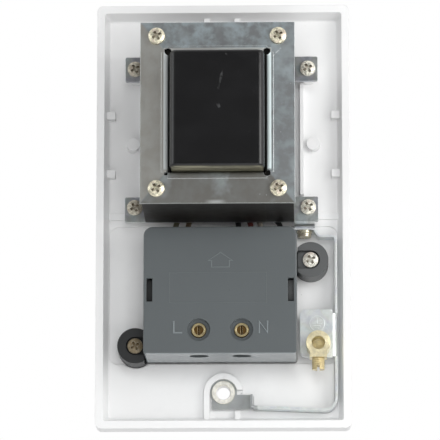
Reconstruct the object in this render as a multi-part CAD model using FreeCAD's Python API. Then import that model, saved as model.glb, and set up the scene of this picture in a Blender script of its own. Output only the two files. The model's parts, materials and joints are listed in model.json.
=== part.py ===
import FreeCAD, Part
import os
from math import atan, cos, radians, sin, sqrt, tan

# Shaver supply unit for a wall, seen from the back as it leaves the factory.
# X runs across the plate, Z up the wall, and Y from the front plate into the wall box.
# The origin is halfway between the two fixing holes, on the back face of their pads.
# All sizes are in millimetres.

# Front plate
plate_width = 86.0
plate_height = 146.0
plate_corner_radius = 2.0
plate_edge_round = 1.6
floor_thickness = 3.0
pad_height = 1.0
panel_step = 0.4
panel_margin = 0.2
panel_height = 47.2
panel_z = -26.7
panel_corner_radius = 3.0
rim_height = 6.5
rim_thickness = 2.6
tray_corner_radius = 0.9
tray_draft = 1.5
tray_floor_round = 0.8
fixing_pitch = 120.6
fixing_hole_radius = 2.2
pad_radius = 5.2
countersink_radius = 3.9
guard_gap = 4.6
guard_thickness = 2.0
guard_height = 2.5
guard_stop_gap = 3.8
guard_stop_thickness = 2.0
side_rib_offset = 26.7
side_rib_thickness = 1.2
side_rib_height = 3.2
side_rib_length = 39.0
pin_boss_offset = 30.6
pin_boss_radius = 2.3
pin_boss_z = 25.1
pin_boss_height = 4.0
wall_nib_width = 2.6
wall_nib_reach = 3.6
wall_nib_height = 3.6
wall_nib_spacing = 20.3
cross_rib_width = 2.4
cross_rib_height = 0.5
cross_rib_z = 0.5
boss_radius = 3.3
boss_bottom_left = 2.0

# Fits shared by several pieces
press_gap = 0.05
loose_gap = 0.1
slide_gap = 0.2

# Outlet insert, set in a window of the plate
outlet_x = 0.0
outlet_z = -26.0
outlet_width = 44.0
outlet_height = 30.0
outlet_corner_radius = 3.0
outlet_proud = 0.3
outlet_edge_round = 0.25
outlet_flange_reach = 1.7
outlet_flange_thickness = 1.2
pin_spacing = 16.6
pin_row_spacing = 11.0
pin_hole_radius = 2.7
blade_slot_width = 1.8
blade_slot_reach = 4.4
pin_mouth_chamfer = 0.4

# Socket housing, base and cover
housing_x = 0.65
housing_z = -28.5
housing_width = 51.2
housing_height = 43.0
housing_depth = 21.0
housing_top_corner = 3.0
housing_foot_corner = 1.0
housing_edge_round = 0.5
housing_wall = 1.5
slab_thickness = 2.6
slab_hole_radius = 3.2
ear_radius = 6.0
ear_height = 10.0
ear_recess_depth = 1.4
upper_ear_reach = 4.6
lower_ear_reach = 3.2
upper_ear_z = -16.3
lower_ear_z = -45.5
ear_boss_height = 5.0
ear_boss_radius = 3.0
hook_thickness = 1.4
hook_width = 7.0
hook_nose = 0.6
hook_nose_height = 1.6
clip_window_width = 2.0
clip_window_length = 7.9
clip_window_edge = 1.0

# Mains terminals
terminal_spacing = 14.3
terminal_above_foot = 8.0
terminal_block_size = 8.0
terminal_block_height = 7.0
terminal_pillar_size = 6.6
terminal_bore_radius = 1.7
terminal_bore_level = 3.4
terminal_boss_radius = 2.35
terminal_boss_stand = 0.8
terminal_screw_radius = 1.6
terminal_screw_sunk = 0.35
terminal_slot_width = 0.6
terminal_slot_depth = 0.8
recess_radius = 3.85
recess_depth = 1.8
recess_wall = 1.1
recess_floor = 0.5
wire_entry_width = 6.4
wire_entry_height = 5.0

# Shutter slide, its spring and the switch it works
shutter_travel = 6.0
shutter_length = 34.0
shutter_height = 18.4
shutter_thickness = 2.2
shutter_start_x = -18.0
shutter_hole_radius = 3.2
rail_thickness = 1.2
rail_lip = 0.8
rail_length = 7.0
spring_slot_half = 1.8
spring_post_width = 2.0
spring_post_x = 2.0
spring_length = 14.0
spring_radius = 1.0
spring_wire_radius = 0.17
spring_turns = 6
wedge_slope = 0.2
wedge_thickness = 3.6
wedge_margin = 1.8
wedge_base = 0.6
switch_x = -2.0
switch_width = 12.8
switch_depth = 6.0
switch_height = 5.5
plunger_radius = 1.0
plunger_tip_gap = 0.15
plunger_length = 3.4

# Outlet contacts
contact_thickness = 0.5
contact_width = 5.0
contact_waist = 2.35
contact_mouth = 3.2
contact_shoulder = 2.75
contact_flare = 1.8
contact_length = 8.2
contact_above_shutter = 0.8
contact_bend = 0.8

# Transformer core, an E and an I stack with an outline of about 60 by 50
core_x = 1.0
core_z = 27.0
core_window_length = 31.6
core_window_width = 10.0
core_limb_width = 20.0
core_yoke_width = 9.3
core_leg_width = 10.2
core_stack = 31.6
core_screw_inset_x = 4.95
core_screw_inset_z = 4.35
core_screw_hole = 1.7

# Feet plate under the core
feet_level = 7.5
feet_thickness = 1.2
feet_x = 0.45
feet_z = 25.75
feet_ear_reach = 3.4
feet_ear_height = 8.6
feet_ear_corner = 0.6
feet_screw_spacing_x = 58.6
feet_screw_spacing_z = 48.1
earth_flange_depth = 6.0
earth_flange_width = 6.9

# Coil, with its bobbin, two windings and tape
coil_end_gap = 0.2
coil_side_gap = 0.15
coil_rear_bulge = 8.8
coil_front_bulge = 8.8
coil_side_round = 2.4
coil_end_round = 1.2
tape_thickness = 1.0
bobbin_wall = 1.1
bobbin_cheek = 1.1
bobbin_divider = 1.0
winding_gap = 0.2
cutout_x = 4.2
cutout_width = 4.4
cutout_height = 3.4
cutout_depth = 4.5

# Clamp cover over the back of the core
cover_overhang = 0.5
cover_sheet = 1.0
cover_window_gap_x = 0.75
cover_window_gap_z = 0.4
cover_lip_radius = 1.2
cover_lip_depth = 2.6
cover_slope_drop = 0.8
cover_relief_radius = 1.15

# Screws and nuts
screw_shank_radius = 1.5
screw_head_radius = 2.75
screw_head_height = 2.0
small_head_radius = 2.6
small_head_height = 1.7
small_shank_radius = 1.4
cross_recess_depth = 1.1
cross_recess_width = 0.85
cross_recess_length = 3.2
nut_flats = 5.5
nut_height = 2.4
screw_tail = 0.5

# Earth strap, its terminal plate, lug and eyelet
strap_thickness = 0.8
strap_width = 5.3
strap_above_floor = 0.2
strap_wall_gap = 2.0
strap_corner_radius = 4.0
strap_small_radius = 1.2
strap_top_z = -7.4
strap_bottom_z = -66.8
strap_end_z = -65.6
strap_joggle = 3.4
fixing_tab_width = 5.0
fixing_tab_reach = 9.6
fixing_tab_end_radius = 4.6
earth_plate_width = 12.6
earth_plate_height = 16.4
earth_plate_z = -40.8
earth_plate_corner = 2.0
earth_fold_radius = 1.7
earth_fold_low_inset = 0.4
earth_fold_high_inset = 1.3
eyelet_radius = 3.85
eyelet_bore = 2.55
eyelet_neck = 3.1
eyelet_flange = 0.8
lug_from_edge = 6.4
lug_from_foot = 3.9
lug_radius = 4.1
lug_bore_radius = 2.25
lug_length = 7.0
lug_floor = 1.0
lug_rivet_radius = 1.5
lug_rivet_head_radius = 2.3
lug_rivet_head_height = 0.5
lug_neck_width = 5.8
lug_neck_reach = 4.8
lug_screw_radius = 2.1
lug_screw_stand = 4.0
lug_slot_width = 0.8
lug_slot_depth = 1.2
strap_screw_head_radius = 2.2
strap_screw_head_height = 1.3
strap_washer_radius = 2.5
strap_washer_thickness = 0.9
strap_screw_shank_radius = 1.4

# Leads from the coil to the housing
lead_radius = 0.9
lead_coil_level = 3.0
lead_housing_level = 4.6
lead_straight = 4.6
lead_housing_straight = 5.4
lead_bend_share = 0.45

# Sizes worked out from those above
core_width = core_window_length + 2 * core_yoke_width
core_height = core_limb_width + 2 * core_window_width + 2 * core_leg_width
core_screw_spacing_x = core_width - 2 * core_screw_inset_x
core_screw_spacing_z = core_height - 2 * core_screw_inset_z
coil_length = core_window_length - 2 * coil_end_gap
coil_height = core_limb_width + 2 * core_window_width - 2 * coil_side_gap
cover_window_width = coil_length + 2 * (cover_window_gap_x + cover_lip_radius)
cover_window_length = coil_height + 2 * (cover_window_gap_z + cover_lip_radius)

# Levels along Y that several pieces share
floor_y = -pad_height
tray_y = floor_y + panel_step
front_y = floor_y - floor_thickness
panel_y = front_y - panel_step
rim_y = floor_y + rim_height
slab_y = floor_y + slab_thickness
housing_y = floor_y + housing_depth
housing_inner_y = housing_y - housing_wall
ear_y = floor_y + ear_height
ear_seat_y = ear_y - ear_recess_depth
core_low_y = feet_level + feet_thickness
core_high_y = core_low_y + core_stack
coil_front_y = core_low_y - coil_front_bulge
coil_rear_y = core_high_y + coil_rear_bulge
cover_top_y = core_high_y + cover_lip_depth
shutter_low_y = slab_y + slide_gap
shutter_high_y = shutter_low_y + shutter_thickness
contact_low_y = shutter_high_y + contact_above_shutter
contact_high_y = contact_low_y + contact_length
recess_floor_y = housing_y - recess_depth
block_top_y = recess_floor_y - recess_floor - loose_gap
block_low_y = block_top_y - terminal_block_height
boss_top_y = recess_floor_y + terminal_boss_stand
terminal_bore_y = block_low_y + terminal_bore_level
strap_low_y = tray_y + strap_above_floor
strap_high_y = strap_low_y + strap_width
plunger_y = shutter_low_y + wedge_thickness / 2

# Places across the plate that several pieces share
tray_half_width = plate_width / 2 - rim_thickness
tray_half_height = plate_height / 2 - rim_thickness
panel_width = 2 * (tray_half_width - tray_draft - panel_margin)
strap_wall_x = -(tray_half_width - strap_wall_gap - strap_thickness / 2)
lug_x = strap_wall_x - strap_thickness / 2 + lug_from_edge
lug_z = earth_plate_z - earth_plate_height / 2 + lug_from_foot
ear_places = ((housing_x - housing_width / 2 - upper_ear_reach, upper_ear_z),
              (housing_x + housing_width / 2 + lower_ear_reach, lower_ear_z))
pin_places = [(outlet_x + side * pin_spacing / 2, outlet_z + row * pin_row_spacing / 2)
              for row in (1, -1) for side in (-1, 1)]
terminal_z = housing_z - housing_height / 2 + terminal_above_foot
terminal_places = [(housing_x + side * terminal_spacing / 2, terminal_z) for side in (1, -1)]
core_screw_places = [(core_x + side * core_screw_spacing_x / 2, core_z + row * core_screw_spacing_z / 2)
                     for row in (1, -1) for side in (-1, 1)]
feet_screw_z = feet_z - feet_screw_spacing_z / 2
feet_screw_places = [(feet_x + side * feet_screw_spacing_x / 2, feet_screw_z + row * feet_screw_spacing_z)
                     for row in (0, 1) for side in (-1, 1)]
shutter_mid_z = outlet_z
shutter_top_z = shutter_mid_z + shutter_height / 2
wedge_z = shutter_top_z + wedge_base
switch_low_z = wedge_z + wedge_slope * (shutter_travel + wedge_margin) + loose_gap * 4
coil_low_z = core_z - coil_height / 2
housing_top_z = housing_z + housing_height / 2
housing_foot_z = housing_z - housing_height / 2


def at(x, y, z):
    """A point or direction."""
    return FreeCAD.Vector(x, y, z)


def joined(shapes):
    """One solid of several that meet."""
    whole = shapes[0]
    for shape in shapes[1:]:
        whole = whole.fuse(shape)
    return whole.removeSplitter()


def without(shape, tools):
    """A solid less each of the tools."""
    for tool in tools:
        shape = shape.cut(tool)
    return shape


def block(x_range, y_range, z_range):
    """A box between the two ends given along each axis."""
    corner = at(min(x_range), min(y_range), min(z_range))
    size = [abs(ends[1] - ends[0]) for ends in (x_range, y_range, z_range)]
    return Part.makeBox(size[0], size[1], size[2], corner)


def rod_y(place, radius, low, high):
    """A round rod along Y."""
    return Part.makeCylinder(radius, high - low, at(place[0], low, place[1]), at(0, 1, 0))


def rod_z(x, y, radius, low, high):
    """A round rod along Z."""
    return Part.makeCylinder(radius, high - low, at(x, y, low), at(0, 0, 1))


def unit(a, b):
    """The direction from one flat point to another, and the distance."""
    length = sqrt((b[0] - a[0]) ** 2 + (b[1] - a[1]) ** 2)
    return ((b[0] - a[0]) / length, (b[1] - a[1]) / length), length


def corner_arc(before, point, after, radius):
    """Where a round corner starts, its middle and its end, on a flat path."""
    into, _ = unit(before, point)
    out, _ = unit(point, after)
    cosine = max(-1.0, min(1.0, into[0] * out[0] + into[1] * out[1]))
    half_tangent = sqrt((1 - cosine) / (1 + cosine))
    reach = radius * half_tangent
    start = (point[0] - into[0] * reach, point[1] - into[1] * reach)
    end = (point[0] + out[0] * reach, point[1] + out[1] * reach)
    turn = 1 if into[0] * out[1] - into[1] * out[0] > 0 else -1
    centre = (start[0] - turn * into[1] * radius, start[1] + turn * into[0] * radius)
    towards, _ = unit(centre, point)
    middle = (centre[0] + towards[0] * radius, centre[1] + towards[1] * radius)
    return start, middle, end, turn, centre


def on_back(y):
    """Places a flat point (x, z) at a level along Y."""
    return lambda point: at(point[0], y, point[1])


def on_floor(z):
    """Places a flat point (x, y) at a height along Z."""
    return lambda point: at(point[0], point[1], z)


def outline(corners, radii, place):
    """A closed face with straight sides and rounded corners."""
    if not isinstance(radii, (list, tuple)):
        radii = [radii] * len(corners)
    edges = []
    count = len(corners)
    arcs = []
    for index, point in enumerate(corners):
        if radii[index] > 0:
            arcs.append(corner_arc(corners[index - 1], point, corners[(index + 1) % count], radii[index])[:3])
        else:
            arcs.append((point, point, point))
    for index, (start, middle, end) in enumerate(arcs):
        if radii[index] > 0:
            edges.append(Part.Arc(place(start), place(middle), place(end)).toShape())
        following = arcs[(index + 1) % count][0]
        edges.append(Part.LineSegment(place(end), place(following)).toShape())
    return Part.Face(Part.Wire(edges))


def rectangle(centre, width, height):
    """The four corners of a rectangle, from the low left one round."""
    x, z = centre
    return [(x - width / 2, z - height / 2), (x + width / 2, z - height / 2),
            (x + width / 2, z + height / 2), (x - width / 2, z + height / 2)]


def slab(centre, width, height, radii, low, high):
    """A flat piece with rounded corners, between two levels along Y."""
    face = outline(rectangle(centre, width, height), radii, on_back(low))
    return face.extrude(at(0, high - low, 0))


def edges_at(shape, level):
    """The edges of a shape that lie at one level along Y."""
    found = []
    for edge in shape.Edges:
        bounds = edge.BoundBox
        if abs(bounds.YMin - level) < 1e-4 and abs(bounds.YMax - level) < 1e-4:
            found.append(edge)
    return found


def bent_strip(points, bends, thickness, place, sweep):
    """A sheet of one thickness along a flat path with round bends."""
    sides = []
    for offset in (thickness / 2, -thickness / 2):
        direction, _ = unit(points[0], points[1])
        here = (points[0][0] - direction[1] * offset, points[0][1] + direction[0] * offset)
        first = here
        edges = []
        for index in range(1, len(points) - 1):
            bend = bends[index - 1]
            arc = corner_arc(points[index - 1], points[index], points[index + 1], bend)
            turn, centre = arc[3:]
            scale = (bend - turn * offset) / bend
            start, middle, end = [(centre[0] + (point[0] - centre[0]) * scale,
                                   centre[1] + (point[1] - centre[1]) * scale) for point in arc[:3]]
            edges.append(Part.LineSegment(place(here), place(start)).toShape())
            edges.append(Part.Arc(place(start), place(middle), place(end)).toShape())
            here = end
        direction, _ = unit(points[-2], points[-1])
        last = (points[-1][0] - direction[1] * offset, points[-1][1] + direction[0] * offset)
        edges.append(Part.LineSegment(place(here), place(last)).toShape())
        sides.append((first, edges, last))
    caps = [Part.LineSegment(place(sides[0][end]), place(sides[1][end])).toShape() for end in (0, 2)]
    wire = Part.Wire(Part.__sortEdges__(sides[0][1] + [caps[1]] + sides[1][1][::-1] + [caps[0]]))
    return Part.Face(wire).extrude(sweep)


def round_tube(points, radius, bend_share):
    """A solid lead whose straight runs are joined by tangent arcs."""
    edges = []
    here = points[0]
    for index in range(1, len(points) - 1):
        before, point, after = points[index - 1:index + 2]
        into = (point - before).normalize()
        out = (after - point).normalize()
        run = min((point - before).Length, (after - point).Length)
        half_turn = into.getAngle(out) / 2
        bend = bend_share * run / tan(half_turn)
        start = point - into * (bend_share * run)
        end = point + out * (bend_share * run)
        inward = (out - into).normalize()
        centre = point + inward * (bend / cos(half_turn))
        middle = centre - inward * bend
        edges.append(Part.LineSegment(here, start).toShape())
        edges.append(Part.Arc(start, middle, end).toShape())
        here = end
    edges.append(Part.LineSegment(here, points[-1]).toShape())
    ring = Part.Wire(Part.makeCircle(radius, points[0], points[1] - points[0]))
    return Part.Wire(edges).makePipeShell([ring], True, True)


def pan_screw(place, seat, end, head_radius, head_height, shank_radius):
    """A pan-head screw along Y with a cross recess in its head."""
    crown = head_height * 0.45
    rise = head_height - crown
    bulge = (head_radius ** 2 + crown ** 2) / (2 * crown)
    dome = Part.makeSphere(bulge, at(place[0], seat + head_height - bulge, place[1]))
    head = rod_y(place, head_radius, seat, seat + head_height).common(dome)
    side = rod_y(place, head_radius, seat, seat + rise)
    screw = joined([head, side, rod_y(place, shank_radius, end, seat + rise / 2)])
    low = seat + head_height - cross_recess_depth
    half_long = cross_recess_length / 2
    half_wide = cross_recess_width / 2
    arms = [block((place[0] - a, place[0] + a), (low, seat + head_height), (place[1] - b, place[1] + b))
            for a, b in ((half_long, half_wide), (half_wide, half_long))]
    turned = [arm.rotated(at(place[0], 0, place[1]), at(0, 1, 0), 30.0) for arm in arms]
    return without(screw, turned)


def save(node, shapes):
    """Writes one node, of one solid or several that are apart."""
    shape = shapes[0] if len(shapes) == 1 else Part.makeCompound(shapes)
    shape.exportStep("parts/" + node + ".step")
    print(node, len(shape.Solids), round(shape.Volume, 1), shape.isValid())


def guard_wall(side):
    """The wall that runs round one fixing hole and out to the tray's edge."""
    low = floor_y - loose_gap
    high = floor_y + guard_height
    centre = (0, side * fixing_pitch / 2)
    outer = rod_y(centre, guard_gap + guard_thickness, low, high)
    inner = rod_y(centre, guard_gap, low, high)
    arch = outer.cut(inner)
    reach = (centre[1], side * (tray_half_height + rim_thickness / 2))
    wide = (-plate_width, plate_width)
    arch = arch.cut(block(wide, (low, high), reach))
    leg = block((guard_gap, guard_gap + guard_thickness), (low, high), reach)
    stop = block((-guard_stop_gap, -guard_stop_gap - guard_stop_thickness), (low, high), reach)
    return [arch, leg, stop]


def strap_path():
    """The centre line of the earth strap on edge, from the core's foot to the fixing hole."""
    flange_z = feet_flange_z()
    tab_start = feet_inner_x() + strap_thickness / 2
    tab_z = flange_z - strap_thickness / 2
    return [(tab_start, tab_z),
            (tab_start - earth_flange_width, tab_z),
            (tab_start - earth_flange_width - strap_joggle / 2, strap_top_z),
            (strap_wall_x, strap_top_z),
            (strap_wall_x, strap_bottom_z),
            (-fixing_tab_reach, strap_end_z),
            (-fixing_tab_reach, strap_end_z + fixing_tab_width - strap_thickness)]


def feet_inner_x():
    """Where the lower earth ear starts, at the core's side."""
    return core_x - core_width / 2


def feet_flange_z():
    """The outer face of the ear's flange that the strap is screwed to."""
    return core_z - core_height / 2 - feet_thickness


def strap_bends():
    """The bend radius at each inner point of the strap's path."""
    return [strap_small_radius, strap_small_radius, strap_small_radius, strap_corner_radius,
            strap_small_radius]


def tray_hollow():
    """The room inside the tray, whose walls lean outwards to the rim."""
    wires = []
    for level, lean in ((tray_y, tray_draft), (rim_y, 0)):
        face = outline(rectangle((0, 0), 2 * (tray_half_width - lean), 2 * (tray_half_height - lean)),
                       tray_corner_radius, on_back(level))
        wires.append(face.OuterWire)
    hollow = Part.makeLoft(wires, True, True)
    return hollow.makeFillet(tray_floor_round, edges_at(hollow, tray_y))


def front_plate():
    """The moulded tray, with its pads, bosses, guards and ribs."""
    body = slab((0, 0), plate_width, plate_height, plate_corner_radius, front_y, rim_y)
    body = body.makeFillet(plate_edge_round, edges_at(body, front_y))
    body = body.cut(tray_hollow())
    recess = slab((0, panel_z), panel_width, panel_height, panel_corner_radius, floor_y, tray_y + panel_step)
    body = body.cut(recess)
    raised = slab((0, panel_z), panel_width, panel_height, panel_corner_radius, panel_y, front_y + loose_gap)
    raised = raised.makeFillet(panel_step * 0.75, edges_at(raised, panel_y))
    body = body.fuse(raised)
    for place in ear_places:
        body = body.cut(rod_y(place, ear_radius + slide_gap, floor_y, tray_y + panel_step))
    low = floor_y - loose_gap
    added = []
    fixings = [(0, side * fixing_pitch / 2) for side in (-1, 1)]
    added += [rod_y(place, pad_radius, low, 0) for place in fixings]
    for side in (-1, 1):
        added += guard_wall(side)
        added.append(rod_y((side * pin_boss_offset, pin_boss_z), pin_boss_radius, low, floor_y + pin_boss_height))
        rib_x = side * side_rib_offset
        added.append(block((rib_x - side_rib_thickness / 2, rib_x + side_rib_thickness / 2),
                           (low, floor_y + side_rib_height),
                           (core_z - side_rib_length / 2, core_z + side_rib_length / 2)))
        for level in (-1, 1):
            nib_z = pin_boss_z + level * wall_nib_spacing / 2
            added.append(block((side * (tray_half_width - wall_nib_reach), side * (tray_half_width + loose_gap)),
                               (low, floor_y + wall_nib_height),
                               (nib_z - wall_nib_width / 2, nib_z + wall_nib_width / 2)))
    for place in feet_screw_places:
        added.append(rod_y(place, boss_radius, low, feet_level))
    added.append(block((-tray_half_width - loose_gap, tray_half_width + loose_gap),
                       (low, tray_y + cross_rib_height),
                       (cross_rib_z - cross_rib_width / 2, cross_rib_z + cross_rib_width / 2)))
    for place in ear_places:
        added.append(rod_y(place, ear_boss_radius, low, floor_y + ear_boss_height))
    body = joined([body] + added)
    strap_room = bent_strip(strap_path(), strap_bends(), strap_thickness + 2 * slide_gap,
                            on_back(floor_y), at(0, rim_y, 0))
    tab_room = block((-fixing_tab_reach, 0), (0, rim_y),
                     (strap_end_z - strap_thickness - slide_gap, strap_end_z + fixing_tab_width + 6 * slide_gap))
    tools = [strap_room, tab_room]
    tools.append(slab((outlet_x, outlet_z), outlet_width + 2 * loose_gap, outlet_height + 2 * loose_gap,
                      outlet_corner_radius + loose_gap, panel_y - 1, floor_y + 1))
    for place in fixings:
        tools.append(rod_y(place, fixing_hole_radius, front_y - 1, rim_y))
        sink = countersink_radius - fixing_hole_radius
        tools.append(Part.makeCone(countersink_radius, fixing_hole_radius, sink,
                                   at(place[0], front_y, place[1]), at(0, 1, 0)))
    for place in feet_screw_places:
        tools.append(rod_y(place, small_shank_radius + press_gap, front_y + boss_bottom_left, feet_level))
    for place in ear_places:
        tools.append(rod_y(place, small_shank_radius + press_gap, front_y + boss_bottom_left,
                           floor_y + ear_boss_height))
    return without(body, tools)


def pin_openings(radius, low, high):
    """A round hole with a blade slot below it, at each pin."""
    tools = []
    for place in pin_places:
        tools.append(rod_y(place, radius, low, high))
        half = blade_slot_width / 2
        tools.append(block((place[0] - half, place[0] + half), (low, high),
                           (place[1] - blade_slot_reach, place[1])))
    return tools


def outlet_insert():
    """The outlet face, set in the plate's window and held by a flange behind it."""
    face_y = panel_y - outlet_proud
    face = slab((outlet_x, outlet_z), outlet_width, outlet_height, outlet_corner_radius, face_y,
                floor_y + outlet_flange_thickness)
    face = face.makeFillet(outlet_edge_round, edges_at(face, face_y))
    flange = slab((outlet_x, outlet_z), outlet_width + 2 * outlet_flange_reach,
                  outlet_height + 2 * outlet_flange_reach, outlet_corner_radius + outlet_flange_reach,
                  floor_y, floor_y + outlet_flange_thickness)
    body = joined([face, flange])
    return without(body, pin_openings(pin_hole_radius, face_y - 1, floor_y + outlet_flange_thickness + 1))


def housing_outline(inset, low, high):
    """The housing's rounded block, taken in on each side by an inset."""
    foot = max(housing_foot_corner - inset, 0)
    top = max(housing_top_corner - inset, 0)
    return slab((housing_x, housing_z), housing_width - 2 * inset, housing_height - 2 * inset,
                [foot, foot, top, top], low, high)


def clip_side(side):
    """The distance from the plate's middle to the inner face of the cover's wall."""
    return housing_x + side * (housing_width / 2 - housing_wall)


def hook(side):
    """A springy arm of the base that snaps into the cover's side wall."""
    outer = clip_side(side) - side * loose_gap
    inner = outer - side * hook_thickness
    high = housing_inner_y - slide_gap
    z_range = (housing_z - hook_width / 2, housing_z + hook_width / 2)
    arm = block((inner, outer), (slab_y - loose_gap, high), z_range)
    nose = block((outer - side * loose_gap, outer + side * hook_nose), (high - hook_nose_height, high), z_range)
    return [arm, nose]


def shutter_rails():
    """The lipped rails and the end stop that guide the shutter slide."""
    pieces = []
    for side in (-1, 1):
        edge = shutter_mid_z + side * (shutter_height / 2 + slide_gap)
        for start in (shutter_start_x, shutter_start_x + shutter_length + shutter_travel - 2 * rail_length):
            x_range = (start, start + rail_length)
            pieces.append(block(x_range, (slab_y - loose_gap, shutter_high_y + slide_gap + rail_thickness),
                                (edge, edge + side * rail_thickness)))
            pieces.append(block(x_range, (shutter_high_y + slide_gap, shutter_high_y + slide_gap + rail_thickness),
                                (edge - side * rail_lip, edge + side * rail_thickness)))
    stop_x = shutter_start_x - loose_gap
    pieces.append(block((stop_x - rail_thickness, stop_x), (slab_y - loose_gap, shutter_high_y),
                        (shutter_mid_z - shutter_height / 4, shutter_mid_z + shutter_height / 4)))
    pieces.append(block((spring_post_x, spring_post_x + spring_post_width),
                        (slab_y - loose_gap, shutter_high_y),
                        (shutter_mid_z - spring_slot_half + 2 * slide_gap,
                         shutter_mid_z + spring_slot_half - 2 * slide_gap)))
    return pieces


def housing_base():
    """The base slab with its ears, hooks, pillars and shutter rails."""
    body = housing_outline(0, floor_y, slab_y)
    ears = []
    for place in ear_places:
        side = 1 if place[0] > 0 else -1
        column = rod_y(place, ear_radius, floor_y, ear_y)
        wall = housing_x + side * (housing_width / 2 + slide_gap)
        column = column.cut(block((housing_x, wall), (slab_y, ear_y + 1),
                                  (place[1] - ear_radius, place[1] + ear_radius)))
        ears.append(column)
    hooks = hook(-1) + hook(1)
    pillars = []
    for x, z in terminal_places:
        half = terminal_pillar_size / 2
        pillars.append(block((x - half, x + half), (slab_y - loose_gap, block_low_y), (z - half, z + half)))
    rails = shutter_rails()
    body = joined([body] + ears + hooks + pillars + rails)
    tools = []
    tools.append(slab((outlet_x, outlet_z), outlet_width + 2 * (outlet_flange_reach + loose_gap),
                      outlet_height + 2 * (outlet_flange_reach + loose_gap),
                      outlet_corner_radius + outlet_flange_reach + loose_gap, floor_y - 1,
                      floor_y + outlet_flange_thickness + loose_gap))
    tools += pin_openings(slab_hole_radius, floor_y, slab_y + 0.5 * slide_gap)
    for place in ear_places:
        tools.append(rod_y(place, ear_boss_radius + slide_gap, floor_y - 1,
                           floor_y + ear_boss_height + slide_gap))
        tools.append(rod_y(place, small_shank_radius + loose_gap, floor_y, ear_y))
        side = 1 if place[0] > 0 else -1
        seat_radius = small_head_radius + 5 * loose_gap
        tools.append(rod_y(place, seat_radius, ear_seat_y, ear_y + 1))
        tools.append(block((place[0], place[0] - side * ear_radius), (ear_seat_y, ear_y + 1),
                           (place[1] - seat_radius, place[1] + seat_radius)))
    return without(body, tools)


def housing_cover():
    """The snapped-on cover, with clip windows, screw recesses and wire entries."""
    body = housing_outline(0, slab_y, housing_y)
    body = body.makeFillet(housing_edge_round, edges_at(body, housing_y))
    body = body.cut(housing_outline(housing_wall, slab_y - 1, housing_inner_y))
    added = []
    for place in terminal_places:
        added.append(rod_y(place, recess_radius + recess_wall, recess_floor_y - recess_floor,
                           housing_y - housing_wall / 2))
    for place in pin_places:
        half = contact_width / 2
        added.append(block((place[0] - half, place[0] + half), (contact_high_y, housing_inner_y + loose_gap),
                           (place[1] - half, place[1] + half)))
    body = joined([body] + added)
    tools = []
    for place in terminal_places:
        tools.append(rod_y(place, recess_radius, recess_floor_y, housing_y + 1))
        tools.append(rod_y(place, terminal_boss_radius + 2 * loose_gap, block_top_y, housing_y))
        tools.append(wire_entry(place))
    for side in (-1, 1):
        near = housing_x + side * (housing_width / 2 - clip_window_edge)
        tools.append(block((near - side * clip_window_width, near), (housing_inner_y - slide_gap, housing_y + 1),
                           (housing_z - clip_window_length / 2, housing_z + clip_window_length / 2)))
        wall_x = clip_side(side)
        nose_low = housing_inner_y - slide_gap - hook_nose_height - slide_gap
        tools.append(block((wall_x - side * loose_gap, wall_x + side * (hook_nose + loose_gap)),
                           (nose_low, housing_inner_y),
                           (housing_z - clip_window_length / 2, housing_z + clip_window_length / 2)))
    for x, _ in lead_ends():
        tools.append(rod_z(x, lead_housing_level, lead_radius + loose_gap, housing_top_z - housing_wall - 1,
                           housing_top_z + 1))
    return without(body, tools)


def wire_entry(place):
    """The rounded slot below a terminal, where the wire comes in."""
    half_wide = wire_entry_width / 2
    half_high = wire_entry_height / 2
    corners = [(place[0] - half_wide, terminal_bore_y - half_high),
               (place[0] + half_wide, terminal_bore_y - half_high),
               (place[0] + half_wide, terminal_bore_y + half_high),
               (place[0] - half_wide, terminal_bore_y + half_high)]
    face = outline(corners, half_high - press_gap, on_floor(housing_foot_z - 1))
    return face.extrude(at(0, 0, housing_wall + 2))


def terminal(place):
    """A brass block with a wire bore up along Z and a threaded boss that shows in the cover."""
    half = terminal_block_size / 2
    body = block((place[0] - half, place[0] + half), (block_low_y, block_top_y),
                 (place[1] - half, place[1] + half))
    body = joined([body, rod_y(place, terminal_boss_radius, block_top_y - loose_gap, boss_top_y)])
    bore = rod_z(place[0], terminal_bore_y, terminal_bore_radius, place[1] - half - 1, place[1] + half + 1)
    thread = rod_y(place, terminal_screw_radius + press_gap, terminal_bore_y, boss_top_y + 1)
    return without(body, [bore, thread])


def terminal_screw(place):
    """A slotted clamp screw, backed off clear of the wire bore."""
    low = terminal_bore_y + terminal_bore_radius + press_gap
    high = boss_top_y - terminal_screw_sunk
    body = rod_y(place, terminal_screw_radius, low, high)
    half = terminal_slot_width / 2
    slot = block((place[0] - half, place[0] + half), (high - terminal_slot_depth, high + 1),
                 (place[1] - terminal_screw_radius, place[1] + terminal_screw_radius))
    return body.cut(slot)


def outlet_contact(place):
    """A folded spring contact that grips one pin."""
    x = place[0]
    points = [(x - contact_mouth, contact_low_y),
              (x - contact_waist, contact_low_y + contact_flare),
              (x - contact_shoulder, contact_high_y - contact_thickness / 2),
              (x + contact_shoulder, contact_high_y - contact_thickness / 2),
              (x + contact_waist, contact_low_y + contact_flare),
              (x + contact_mouth, contact_low_y)]
    low = place[1] - contact_width / 2
    return bent_strip(points, [contact_bend] * 4, contact_thickness, on_floor(low), at(0, 0, contact_width))


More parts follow.
